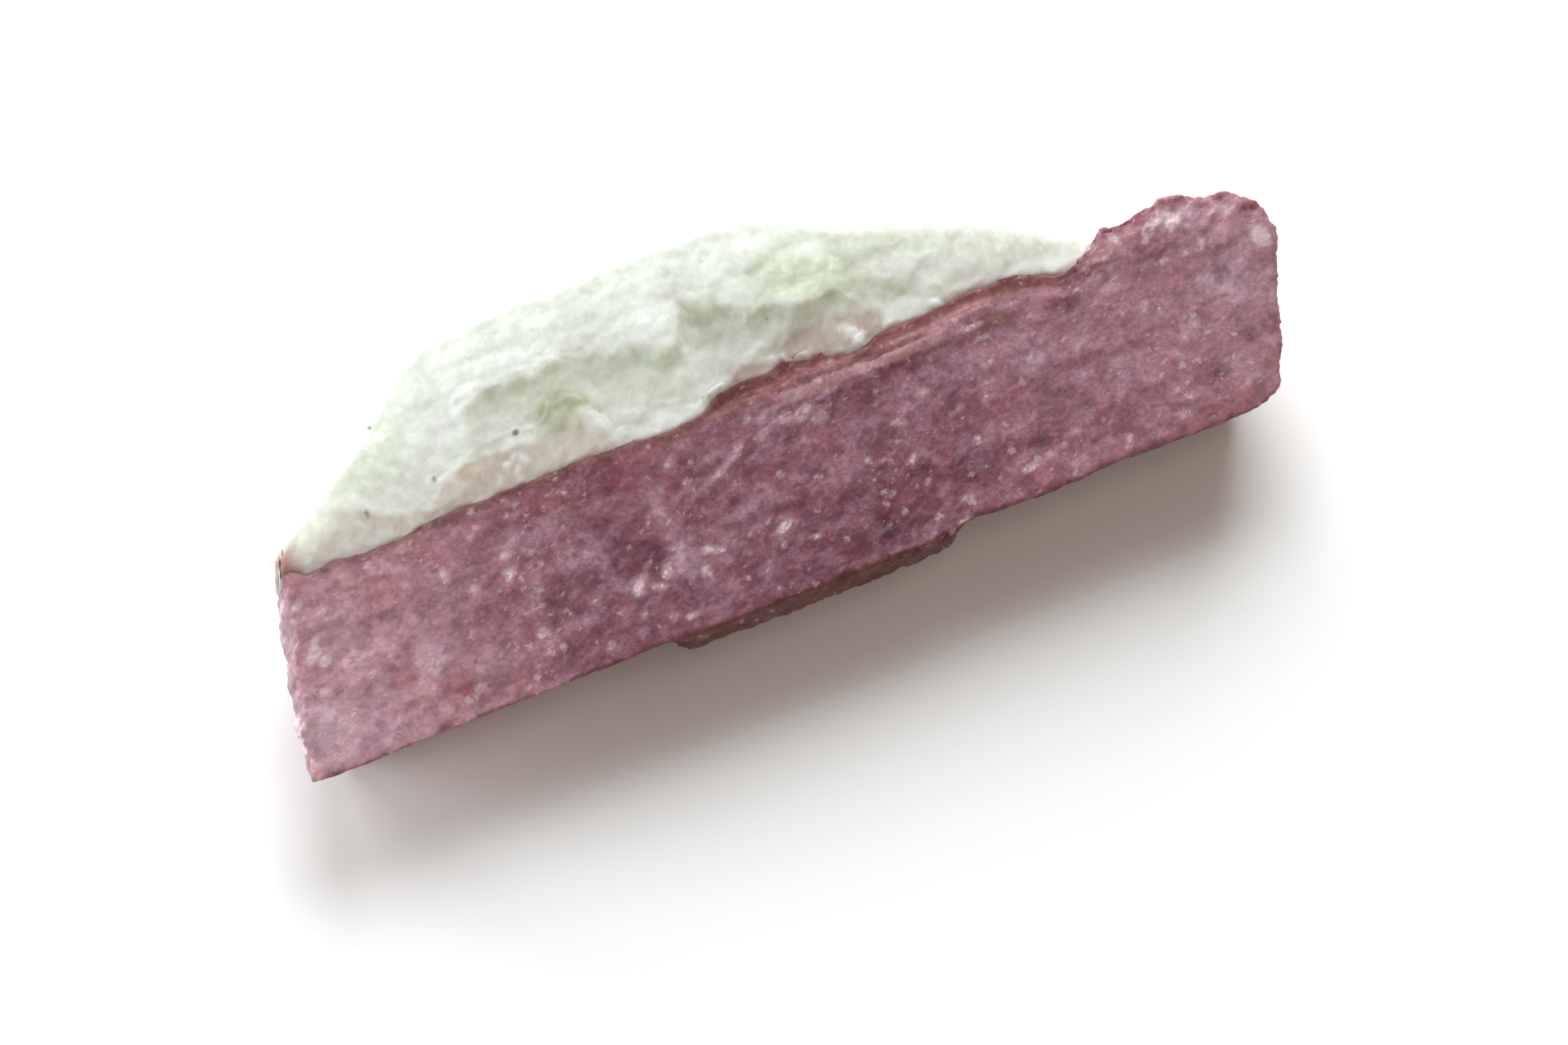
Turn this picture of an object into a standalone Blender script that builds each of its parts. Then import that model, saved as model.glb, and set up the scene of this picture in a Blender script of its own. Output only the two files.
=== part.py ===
"""A raw tourmaline crystal with the pale feldspar it grew beside, lying on their flat undersides.

Two solids: the striated pink prism with its broken ends, front ledge, back rib and end lump, and the
feldspar matrix grown along its back. X runs along the prism, +Y is the matrix side and +Z is up.
The shapes are worked out in millimetres from the prism's lower front corner, then scaled to metres.
"""
import bmesh
import bpy
import numpy as np
from mathutils import Vector, noise

MM = 0.001
STEP = 0.6  # spacing of the cross-sections along the prism
CONTACT_GAP = 0.3  # between the prism's back wall and the matrix
SNAP = 0.02  # a cutting plane takes in points this near to it
MERGE = 0.004  # points nearer than this become one

# The prism: a wide face tilted to the front, on a narrow sole
PRISM_ENDS = (-1.2, 39.0)  # before the ends are broken off
FACE_HEIGHT = 5.0  # at the front edge
FACE_SLOPE = 0.197  # rise for each millimetre back
SOLE_FRONT = 2.9
SOLE_BACK = 5.6
FACE_ROWS = (0.0, 0.03, 0.11, 0.2, 0.29, 0.38, 0.47, 0.56, 0.65, 0.74, 0.81, 0.865, 0.93, 1.0)
STRIA_DEPTH = 0.07
STRIA_LENGTH = 9.0
FACE_WAVES = ((3.0, 0.09, 7.1), (1.1, 0.05, 1.9))  # size, height and seed of each wave
WALL_HEIGHTS = (5.6, 4.2, 2.8, 1.4)
WALL_TOP = 6.2  # the back wall runs straight down from here
WALL_CURVE = 0.8
SIDE_DROPS = (3.8, 3.0, 2.1)
SIDE_WAVES = ((2.1, 0.16, 5.2),)
FRONT_EDGE = ((-1, 0), (13.2, 0), (13.6, -0.05), (19.5, -0.12), (23.7, -0.05), (24.4, 0.1), (25.5, 0),
              (30.5, 0.1), (33.5, 0), (35.2, 0.1), (36.2, 0.4), (39, 0.9))
BACK_EDGE = ((-1, 7.4), (1.7, 7.4), (2.3, 6.8), (3.8, 6.95), (5.2, 6.75), (7.2, 7.0), (13.8, 7.05),
             (15.2, 6.9), (16, 6.75), (17.3, 7.0), (17.9, 7.45), (20.2, 7.4), (20.7, 7.75), (21.2, 7.45),
             (22.7, 7.15), (23.6, 7.2), (24, 7.45), (29.4, 7.5), (30.2, 7.25), (30.9, 6.75), (31.3, 7.2),
             (31.7, 7.3), (32.3, 7.55), (32.9, 7.75), (33.3, 7.6), (33.9, 7.85), (34.3, 7.6), (34.8, 7.9),
             (36, 7.9), (37.4, 7.6), (39, 7.0))

# The ledge left standing below the front edge
LEDGE_ENDS = (13.6, 23.5)
LEDGE_FADE = 0.3
LEDGE_HEIGHT = 1.15
LEDGE_LIP = 0.15  # thickness of the slope under the ledge
FRONT_LEAN = 0.58  # how far the front side runs in for each millimetre down

# The back rib, the groove behind it and the rim that carries the matrix
RIB_ENDS = (17.5, 31.0)
RIB_FADE = 0.8
RIB_ROW = 11  # the row of the wide face that rises, and the one that sinks
GROOVE_ROW = 12
RIB_RISE = 0.16
GROOVE_DROP = 0.22

# The lump at the back of the right end
LUMP_FOOT = ((30.4, 7.0), (31.6, 6.75), (33.0, 6.3), (34.4, 6.2), (35.0, 5.7), (36.2, 5.3), (39, 5.2))
LUMP_SLOPE = (-0.3, 0.6)  # the rise starts before its foot line and ends behind it
LUMP_TOP = ((30.5, 0), (31.2, 0.35), (32.2, 0.55), (32.6, 0.4), (33.4, 0.75), (33.8, 0.6), (34.8, 0.85),
            (36.5, 0.8), (38, 0.55))

# Planes that the prism broke along, each with a point on it and its outward normal
LEFT_BREAKS = (
    ((-0.3, 0.9, 4.3), (-0.93, -0.10, -0.32)),
    ((-0.25, 1.2, 4.3), (-0.90, 0.26, -0.32)),
    ((0.65, 4.9, 4.9), (-0.93, 0.22, -0.28)),
    ((0.15, 1.5, 5.3), (-0.86, 0.17, 0.48)),
    ((0.67, 3.3, 5.65), (-0.86, 0.24, 0.46)),
    ((1.05, 7.1, 6.5), (-0.93, 0.25, 0.27)),
)
RIGHT_BREAKS = (
    ((36.1, 0.4, 5.1), (0.89, -0.37, -0.27)),
    ((36.75, 1.6, 5.3), (0.93, -0.30, -0.20)),
    ((35.6, 0.2, 5.0), (0.50, -0.80, -0.30)),
    ((38.2, 5.9, 6.2), (0.96, 0.02, -0.28)),
    ((37.0, 7.0, 7.0), (0.58, 0.80, 0.10)),
    ((36.8, 6.5, 7.2), (0.24, 0.52, 0.82)),
    ((37.6, 5.6, 6.7), (0.75, 0.10, 0.66)),
    ((35.2, 4.0, 0.0), (0.78, 0.05, -0.62)),
)

# The matrix
MATRIX_ENDS = (1.8, 32.4)
MATRIX_BACK = ((1.8, 7.9), (2.6, 8.4), (3.7, 9.3), (4.6, 9.5), (6, 10.1), (6.8, 11.4), (8, 12.6),
               (9.4, 13.3), (10.4, 13.6), (20.9, 13.6), (21.9, 13.3), (23.3, 12.6), (25.3, 11.8),
               (27.3, 11.0), (29.2, 10.0), (31.2, 8.9), (32.4, 8.2))
MATRIX_CREST = ((1.8, 6.7), (4, 7.2), (6, 7.6), (8, 8.2), (11, 8.5), (20, 8.5), (23, 8.1), (27, 7.6),
                (30, 7.1), (32.4, 6.6))
MATRIX_BASE = ((1.8, 4.6), (3.6, 2.2), (5.4, 0), (26.4, 0), (29.4, 1.4), (32.4, 5.0))
CONTACT_HEIGHT = 6.55  # where the matrix meets the prism's back edge
LOW_ZONE = 0.3  # height of the low zone above the contact
LOW_LEDGE = ((1.8, 7.8), (5, 8.0), (6.4, 7.8), (7.4, 7.8), (8.2, 8.3), (10.6, 8.5), (11.8, 8.3),
             (12.6, 9.1), (13.6, 9.0), (14, 7.9), (18, 7.7), (19.2, 8.4), (20.6, 8.3), (21.4, 8.9),
             (23, 9.0), (24.6, 8.6), (26, 8.2), (32.4, 7.9))
HIGH_LEDGE = ((1.8, 7.9), (4.5, 9.0), (6.5, 10.0), (10.1, 10.2), (12.6, 10.4), (15.2, 10.2), (16.5, 9.8),
              (17.5, 10.1), (18.2, 10.9), (19.3, 10.3), (21.5, 9.4), (24, 9.8), (27, 9.4), (32.4, 8.1))
LEDGE_WIDTH = 0.5
MIDDLE_SHARE = 0.55  # height of the middle zone between the low one and the crest
LEDGE_SPANS = ((LOW_LEDGE, (0.12, 0.38)), (HIGH_LEDGE, (0.48, 0.68)))  # shares of the depth
FIRST_ROW = 0.05
CREST_ROWS = (0.3, 0.65)
TOP_WAVES = ((2.4, 0.3, 4.4), (1.0, 0.16, 8.8))
# Behind the ledges the section follows an arc: shares of the depth and of the height
BACK_ARC = ((0.80, 0.975), (0.90, 0.89), (0.97, 0.75), (1.0, 0.58), (0.98, 0.37), (0.89, 0.15),
            (0.76, 0.0))
BACK_WAVES = ((2.6, 0.35, 6.1), (1.1, 0.15, 2.2))
ARC_LENGTH = 5.0  # the arc's own length, for waves that run round it
FIRM_DEPTH = 3.0  # thinner than this, the waves fade out
INNER_HEIGHTS = (0.25, 0.5, 0.75)

TOURMALINE = {"colour": (0.31, 0.115, 0.16, 1), "roughness": 0.42}
FELDSPAR = {"colour": (0.66, 0.71, 0.60, 1), "roughness": 0.5}


def along(line, x):
    """Value at x of a line given by (x, value) points."""
    places, values = zip(*line)
    return float(np.interp(x, places, values))


def ramp(x, start, end):
    """0 before start and 1 after end, smooth between."""
    t = min(max((x - start) / (end - start), 0), 1)
    return t * t * (3 - 2 * t)


def within(x, ends, soft):
    """1 between the two ends, fading to 0 over soft at each."""
    return ramp(x, ends[0] - soft, ends[0]) * (1 - ramp(x, ends[1], ends[1] + soft))


def uneven(place, waves):
    """Smooth unevenness at a place: the sum of waves, each given by its size, height and seed."""
    return sum(high * noise.noise(Vector(place) / size + Vector((seed,) * 3)) for size, high, seed in waves)


def face_height(x, y, row):
    """Height of the prism's wide face, with its striae, rib, groove and end lump."""
    height = FACE_HEIGHT + FACE_SLOPE * y + uneven((x, y, 0), FACE_WAVES)
    height += uneven((x / STRIA_LENGTH, row * 2.7, 0), ((1, STRIA_DEPTH, 3.3),))
    relief = {RIB_ROW: RIB_RISE, GROOVE_ROW: -GROOVE_DROP}.get(row, 0)
    height += relief * within(x, RIB_ENDS, RIB_FADE)
    foot = along(LUMP_FOOT, x)
    return height + along(LUMP_TOP, x) * ramp(y, foot + LUMP_SLOPE[0], foot + LUMP_SLOPE[1])


def back_wall(x, height):
    """Depth of the prism's back wall at a height, leaning in towards the sole."""
    edge = along(BACK_EDGE, x)
    return SOLE_BACK + (edge - SOLE_BACK) * min(height / WALL_TOP, 1) ** WALL_CURVE


def front_side(x, drop):
    """Depth of the prism's front side at a drop below the front edge, with the ledge."""
    plain = FRONT_LEAN * drop
    ledge = within(x, LEDGE_ENDS, LEDGE_FADE) * (drop <= LEDGE_HEIGHT)
    return along(FRONT_EDGE, x) + plain * (1 - ledge)


def prism_ring(x):
    """Cross-section of the prism: over the wide face to the back, down, along the sole and up."""
    front = along(FRONT_EDGE, x)
    back = along(BACK_EDGE, x)
    ring = []
    for row, share in enumerate(FACE_ROWS):
        y = front + share * (back - front)
        ring.append((x, y, face_height(x, y, row)))
    for height in WALL_HEIGHTS:
        ring.append((x, back_wall(x, height), height))
    ring += [(x, y, 0) for y in (SOLE_BACK, SOLE_FRONT)]
    for drop in SIDE_DROPS:
        ring.append((x, front_side(x, drop) + uneven((x, drop, 0), SIDE_WAVES), FACE_HEIGHT - drop))
    for drop in (LEDGE_HEIGHT + LEDGE_LIP, LEDGE_HEIGHT):
        ring.append((x, front_side(x, drop), FACE_HEIGHT - drop))
    return ring


def matrix_height(x, y):
    """Height of the matrix's top: a low zone by the prism, then two ledges up to the crest."""
    crest = along(MATRIX_CREST, x)
    low = CONTACT_HEIGHT + LOW_ZONE
    middle = low + MIDDLE_SHARE * max(crest - low, 0)
    half = LEDGE_WIDTH / 2
    first = ramp(y, along(LOW_LEDGE, x) - half, along(LOW_LEDGE, x) + half)
    second = ramp(y, along(HIGH_LEDGE, x) - half, along(HIGH_LEDGE, x) + half)
    return low + (middle - low) * first + (crest - middle) * second


def matrix_rows(x, wall, reach):
    """Depths of the top rows: one by the contact, a pair on each ledge, and two up to the crest."""
    shares = [FIRST_ROW]
    for ledge, (least, most) in LEDGE_SPANS:
        middle = min(max((along(ledge, x) - wall) / reach, least), most)
        half = min(LEDGE_WIDTH / 2 / reach, FIRST_ROW)
        shares += [middle - half, middle + half]
    room = BACK_ARC[0][0] - shares[-1]
    shares += [shares[-1] + room * part for part in CREST_ROWS]
    return [wall + share * reach for share in shares]


def matrix_ring(x):
    """Cross-section of the matrix: up from the contact, over the ledges, round the back and under."""
    wall = back_wall(x, WALL_TOP) + CONTACT_GAP
    back = along(MATRIX_BACK, x)
    base = along(MATRIX_BASE, x)
    crest = along(MATRIX_CREST, x)
    reach = back - wall
    firm = min(reach / FIRM_DEPTH, 1)
    ring = [(x, wall, CONTACT_HEIGHT)]
    for y in matrix_rows(x, wall, reach):
        ring.append((x, y, matrix_height(x, y) + firm * uneven((x, y, 0), TOP_WAVES)))
    for depth, share in BACK_ARC:
        y = wall + depth * reach
        z = base + share * (crest - base)
        swell = firm * (share > 0) * uneven((x, depth * ARC_LENGTH, z), BACK_WAVES)
        ring.append((x, y + swell, z + swell / 2))
    ring.append((x, back_wall(x, base) + CONTACT_GAP, base))
    for share in INNER_HEIGHTS:
        height = base + share * (CONTACT_HEIGHT - base)
        ring.append((x, back_wall(x, height) + CONTACT_GAP, height))
    return ring


def stations(ends):
    """Cross-section places: every STEP between the ends, and the ends themselves."""
    first = int(np.ceil(ends[0] / STEP + 0.3))
    last = int(np.floor(ends[1] / STEP - 0.3))
    return [ends[0]] + [STEP * i for i in range(first, last + 1)] + [ends[1]]


def skin(rings):
    """Closed mesh of triangles through cross-sections of equal length."""
    bm = bmesh.new()
    loops = [[bm.verts.new(point) for point in ring] for ring in rings]
    count = len(loops[0])
    for near, far in zip(loops, loops[1:]):
        for i in range(count):
            j = (i + 1) % count
            bm.faces.new((near[i], near[j], far[j], far[i]))
    bm.faces.new(loops[0])
    bm.faces.new(loops[-1])
    bmesh.ops.recalc_face_normals(bm, faces=bm.faces)
    bmesh.ops.triangulate(bm, faces=bm.faces)
    return bm


def break_off(bm, point, normal):
    """Cut away what lies outside the plane, and close the cut with a flat face."""
    everything = bm.verts[:] + bm.edges[:] + bm.faces[:]
    bmesh.ops.bisect_plane(bm, geom=everything, dist=SNAP, plane_co=point, plane_no=normal, clear_outer=True)
    rim = [edge for edge in bm.edges if edge.is_boundary]
    if rim:
        bmesh.ops.holes_fill(bm, edges=rim, sides=0)


def tidy(bm):
    """Merge points that nearly meet, join the flat sole into one face, and leave triangles."""
    bmesh.ops.remove_doubles(bm, verts=bm.verts, dist=MERGE)
    sole = [face for face in bm.faces if all(abs(vert.co.z) < MERGE for vert in face.verts)]
    if len(sole) > 1:
        bmesh.ops.dissolve_faces(bm, faces=sole)
    bmesh.ops.triangulate(bm, faces=bm.faces)
    bmesh.ops.recalc_face_normals(bm, faces=bm.faces)


def stone(name, finish):
    """Plain Principled material of a stone."""
    material = bpy.data.materials.new(name)
    material.use_nodes = True
    shader = material.node_tree.nodes["Principled BSDF"]
    shader.inputs["Base Color"].default_value = finish["colour"]
    shader.inputs["Roughness"].default_value = finish["roughness"]
    shader.inputs["Metallic"].default_value = 0
    return material


def piece(name, bm, material):
    """Scene object from a bmesh."""
    mesh = bpy.data.meshes.new(name)
    bm.to_mesh(mesh)
    bm.free()
    mesh.materials.append(material)
    thing = bpy.data.objects.new(name, mesh)
    bpy.context.scene.collection.objects.link(thing)
    return thing


def make_crystal():
    """The prism with both ends broken off along flat planes."""
    bm = skin([prism_ring(x) for x in stations(PRISM_ENDS)])
    for point, normal in LEFT_BREAKS + RIGHT_BREAKS:
        break_off(bm, point, normal)
    tidy(bm)
    return piece("tourmaline_crystal", bm, stone("tourmaline", TOURMALINE))


def make_matrix():
    """The pale stone along the back of the prism."""
    bm = skin([matrix_ring(x) for x in stations(MATRIX_ENDS)])
    tidy(bm)
    return piece("feldspar_matrix", bm, stone("feldspar", FELDSPAR))


def centre_and_scale(things):
    """Put the middle of the whole underside at the origin, and turn millimetres into metres."""
    corners = np.array([vert.co for thing in things for vert in thing.data.vertices])
    low, high = corners.min(axis=0), corners.max(axis=0)
    middle = Vector(((low[0] + high[0]) / 2, (low[1] + high[1]) / 2, low[2]))
    for thing in things:
        for vert in thing.data.vertices:
            vert.co = (vert.co - middle) * MM


for old in list(bpy.data.objects):
    bpy.data.objects.remove(old)
centre_and_scale([make_crystal(), make_matrix()])
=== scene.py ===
# %% [markdown]
# # A raw tourmaline crystal on its feldspar
#
# The piece is a small mineral specimen: a prism of mauve-pink tourmaline, broken off at both ends, with
# a strip of pale green-white feldspar still grown to its back. It lies with its widest face up on a
# white ground in soft daylight.
#
# The solids that carry the shape come ready made, as a frame. This lesson gives them the surface that
# a raw stone has: fine relief in the mesh, and colour, gloss and grain in the materials. All lengths
# in the frame are metres, but the stone is easier to think about in millimetres, so the cells below
# work in millimetres and scale at the end.

import bpy
import numpy as np
from mathutils import Matrix, Vector, noise


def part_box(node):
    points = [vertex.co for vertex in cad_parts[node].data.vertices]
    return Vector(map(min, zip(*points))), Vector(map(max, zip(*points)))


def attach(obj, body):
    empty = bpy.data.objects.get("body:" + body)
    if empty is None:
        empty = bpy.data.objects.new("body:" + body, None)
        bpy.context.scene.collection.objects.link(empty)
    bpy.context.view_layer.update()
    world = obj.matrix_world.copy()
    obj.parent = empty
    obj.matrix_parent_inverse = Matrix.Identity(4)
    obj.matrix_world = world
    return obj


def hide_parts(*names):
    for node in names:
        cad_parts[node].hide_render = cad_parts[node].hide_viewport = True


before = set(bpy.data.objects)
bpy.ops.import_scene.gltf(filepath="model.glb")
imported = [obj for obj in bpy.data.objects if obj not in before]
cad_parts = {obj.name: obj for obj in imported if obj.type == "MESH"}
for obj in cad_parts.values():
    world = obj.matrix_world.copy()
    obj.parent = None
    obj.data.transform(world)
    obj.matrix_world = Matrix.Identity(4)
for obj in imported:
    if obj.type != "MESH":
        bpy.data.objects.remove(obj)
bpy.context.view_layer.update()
MM = 0.001

# %% [markdown]
# ## A ruler on the stone
#
# Everything below is placed by its distance in millimetres along the prism, back from its front edge
# and up from the ground. The ruler starts at the lowest corner of the prism's own box, so it moves
# with the frame if the solids change.

# %% The ruler
CRYSTAL, MATRIX = "tourmaline_crystal", "feldspar_matrix"
crystal_low, crystal_high = (np.array(corner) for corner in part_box(CRYSTAL))
FACE_HEIGHT = 5.0  # of the wide face at its front edge
FACE_SLOPE = 0.197  # its rise for each millimetre back


def on_ruler(points):
    """Points in metres, as millimetres from the ruler's start."""
    return (points - np.array((crystal_low[0], crystal_low[1], 0))) / MM


def off_ruler(points):
    """Points on the ruler, back in metres."""
    return points * MM + np.array((crystal_low[0], crystal_low[1], 0))


print("the prism is", [round(v, 2) for v in on_ruler(crystal_high)], "mm along, back and up")

# %% [markdown]
# ## Camera
#
# A specimen this small is taken from well away with a long lens, so its edges stay parallel. The
# camera looks down steeply from the front left, which turns the prism's axis across the picture. Aim
# and angle are enough: the distance follows from the lens and from how wide the view is.

# %% Make the camera
VIEW_WIDTH = 53.7  # millimetres across the picture at the stone
VIEW_AZIMUTH, VIEW_ELEVATION = -24.15, 62.0
VIEW_AIM = Vector((-0.15, -3.41, 3.5)) * MM
LENS, SENSOR = 500.0, 36.0


def direction(azimuth, elevation):
    """Unit vector towards a place in the sky: azimuth 0 is the front, elevation is above the ground."""
    turn = Matrix.Rotation(np.radians(azimuth), 3, "Z") @ Matrix.Rotation(np.radians(-elevation), 3, "X")
    return turn @ Vector((0, -1, 0))


camera = bpy.data.objects.new("camera", bpy.data.cameras.new("camera"))
bpy.context.scene.collection.objects.link(camera)
bpy.context.scene.camera = camera
camera.data.lens = LENS
camera.data.sensor_width = SENSOR
camera.data.clip_start = 0.01
camera.data.clip_end = 10
towards_camera = direction(VIEW_AZIMUTH, VIEW_ELEVATION)
camera.location = VIEW_AIM + towards_camera * VIEW_WIDTH * MM * LENS / SENSOR
camera.rotation_euler = towards_camera.to_track_quat("Z", "Y").to_euler()
print("camera at", [round(v / MM) for v in camera.location], "mm")

# %% [markdown]
# ## Ground and light
#
# The ground is plain white card. A tall window stands behind the stone and to its right, so the
# shadow falls towards the viewer. Two bright walls, low down behind and at the left, let the shadow's
# ends fade out, and a weak warm ceiling over the viewer fills its middle. Each is an area light that
# faces the stone, given by its place in the sky and by the angles that it covers there.

# %% Make the ground and the lights
GROUND_SIZE = 2000 * MM
LIGHT_DISTANCE = 420 * MM
LIGHTS = {  # azimuth, elevation, half angle across, half angle up, brightness, colour
    "window": (151, 46, 19, 29, 17.6, (0.92, 0.98, 1.0)),
    "left wall": (253, 15, 21, 12, 28.0, (0.84, 0.95, 1.0)),
    "back wall": (192, 8.2, 20, 8, 72.0, (0.98, 1.0, 1.0)),
    "ceiling": (10, 55, 22, 20, 5.0, (1.0, 0.82, 0.70))}
FILL_COLOUR, FILL_STRENGTH = (1.0, 0.90, 0.80), 0.08
CARD = {"Base Color": (0.92, 0.92, 0.92, 1), "Roughness": 0.9, "Specular IOR Level": 0.1}


def principled(name, values):
    """A new material, and its Principled shader with some inputs set."""
    material = bpy.data.materials.new(name)
    material.use_nodes = True
    shader = material.node_tree.nodes["Principled BSDF"]
    for socket, value in values.items():
        shader.inputs[socket].default_value = value
    return material, shader


def stage_ground():
    """The white card that the stone lies on."""
    mesh = bpy.data.meshes.new("ground")
    half = GROUND_SIZE / 2
    corners = [(-half, -half, 0), (half, -half, 0), (half, half, 0), (-half, half, 0)]
    mesh.from_pydata(corners, [], [(0, 1, 2, 3)])
    ground = bpy.data.objects.new("ground", mesh)
    bpy.context.scene.collection.objects.link(ground)
    mesh.materials.append(principled("white card", CARD)[0])


def soft_light(name, azimuth, elevation, across, up, brightness, colour):
    """An area light that faces the stone. Brightness is watts for each square metre and steradian."""
    light = bpy.data.lights.new(name, "AREA")
    light.shape = "RECTANGLE"
    light.size = 2 * LIGHT_DISTANCE * np.tan(np.radians(across))
    light.size_y = 2 * LIGHT_DISTANCE * np.tan(np.radians(up))
    light.energy = brightness * light.size * light.size_y
    light.color = colour
    lamp = bpy.data.objects.new(name, light)
    bpy.context.scene.collection.objects.link(lamp)
    towards = direction(azimuth, elevation)
    lamp.location = towards * LIGHT_DISTANCE
    lamp.rotation_euler = towards.to_track_quat("Z", "Y").to_euler()


def surround():
    """Even warm light from all round."""
    world = bpy.data.worlds.new("surround")
    world.use_nodes = True
    sky = world.node_tree.nodes["Background"]
    sky.inputs["Color"].default_value = (*FILL_COLOUR, 1)
    sky.inputs["Strength"].default_value = FILL_STRENGTH
    bpy.context.scene.world = world


stage_ground()
for name, setting in LIGHTS.items():
    soft_light(name, *setting)
surround()
bpy.context.scene.view_settings.view_transform = "Standard"
print("lights:", list(LIGHTS))

# %% [markdown]
# ## From a solid to a surface fine enough to carve
#
# The solids have a few thousand flat triangles. A stone needs points about a tenth of a millimetre
# apart before small chips and grains can be cut into it. A Subdivision modifier would keep the long
# thin triangles, so a voxel Remesh makes even quads instead, and a Smooth modifier takes out the
# creases that the triangles left.

# %% Refine a solid
SMOOTHING = 0.5  # of the way to the neighbours' middle, at each turn


def refined(node, name, spacing, turns):
    """A fine, even copy of one of the frame's solids, smoothed a number of turns."""
    piece = bpy.data.objects.new(name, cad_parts[node].data.copy())
    bpy.context.scene.collection.objects.link(piece)
    remesh = piece.modifiers.new("even quads", "REMESH")
    remesh.mode = "VOXEL"
    remesh.voxel_size = spacing * MM
    smooth = piece.modifiers.new("relaxed", "SMOOTH")
    smooth.factor = SMOOTHING
    smooth.iterations = turns
    shape = piece.evaluated_get(bpy.context.evaluated_depsgraph_get())
    mesh = bpy.data.meshes.new_from_object(shape)
    piece.modifiers.clear()
    piece.data = mesh
    mesh.materials.clear()
    mesh.polygons.foreach_set("use_smooth", [True] * len(mesh.polygons))
    print(name, "has", len(mesh.polygons), "quads")
    return piece


crystal = refined(CRYSTAL, "crystal_surface", spacing=0.111, turns=4)
matrix = refined(MATRIX, "matrix_surface", spacing=0.105, turns=6)

# %% [markdown]
# ## Tools for carving
#
# Sculpting by hand can't be repeated, so each stroke is a line of code: it moves the points of the
# mesh by an amount that depends on where they are. Smooth noise gives waves. Noise rounded to a few
# levels gives thin layers that flaked off. Space cut into cells gives packed grains, or broken facets
# when each cell leans its own way. A scoop is a chip, and a pull draws a corner out or in.

# %% Points and normals
def places(piece):
    """The mesh's points on the ruler."""
    flat = np.empty(len(piece.data.vertices) * 3)
    piece.data.vertices.foreach_get("co", flat)
    return on_ruler(flat.reshape(-1, 3))


def put_back(piece, points):
    """Moves the mesh's points to places on the ruler."""
    piece.data.vertices.foreach_set("co", off_ruler(points).ravel())
    piece.data.update()


def facing(piece):
    """The mesh's normals, one for each point."""
    flat = np.empty(len(piece.data.vertices) * 3)
    piece.data.vertices.foreach_get("normal", flat)
    return flat.reshape(-1, 3)


def step(values, start, end):
    """0 before start and 1 after end, smooth between."""
    t = np.clip((values - start) / (end - start), 0, 1)
    return t * t * (3 - 2 * t)


def band(values, start, end, soft):
    """1 from start to end, fading over soft on both sides."""
    return step(values, start - soft, start) * (1 - step(values, end, end + soft))


def line(values, stops):
    """Heights of a line through (place, height) stops."""
    at, heights = zip(*stops)
    return np.interp(values, at, heights)


# %% Noise
def waves(points, size, seed):
    """Smooth noise, -1 to 1. size is one length or one for each direction."""
    return np.array([noise.noise(p) for p in (points / np.array(size) + seed).tolist()])


def ripple(points, size, seed):
    """Smooth noise that only changes along the prism."""
    return waves(points * (1, 0, 0), size, seed)


def layers(points, size, seed, levels):
    """Smooth noise rounded to levels, like thin layers that flaked off."""
    return np.round(waves(points, size, seed) * levels) / levels


def grains(points, size, seed):
    """Packed grains: 0 at a grain's heart and about -1 in the gaps between grains."""
    return -np.array([noise.voronoi(p)[0][0] for p in (points / np.array(size) + seed).tolist()])


def facets(points, size, seed):
    """Heights of flat facets about size across, each with its own lean."""
    heights = []
    for p in (points / np.array(size) + seed).tolist():
        heart = noise.voronoi(p)[1][0]
        lean = noise.cell_vector(heart * 9.7)
        heights.append((lean - Vector((0.5, 0.5, 0.5))).dot(Vector(p) - heart))
    return np.array(heights)


def drift(kind, points, size, seed, *more):
    """Three noises of one kind, which together move the points about."""
    return np.stack([kind(points, size, seed + k, *more) for k in range(3)], axis=1)


# %% Strokes
def scoop(points, centre, radius):
    """Pushes the points inside a ball out to its skin, which leaves a chip."""
    arms = points - np.array(centre)
    reach = np.linalg.norm(arms, axis=1)
    inside = reach < radius
    points[inside] = np.array(centre) + arms[inside] / reach[inside, None] * radius


def pull(points, centre, radius, shift):
    """Draws the points near a centre along by a shift that fades out at the radius."""
    reach = np.linalg.norm(points - np.array(centre), axis=1)
    points += (1 - step(reach, 0, radius))[:, None] * np.array(shift)
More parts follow.
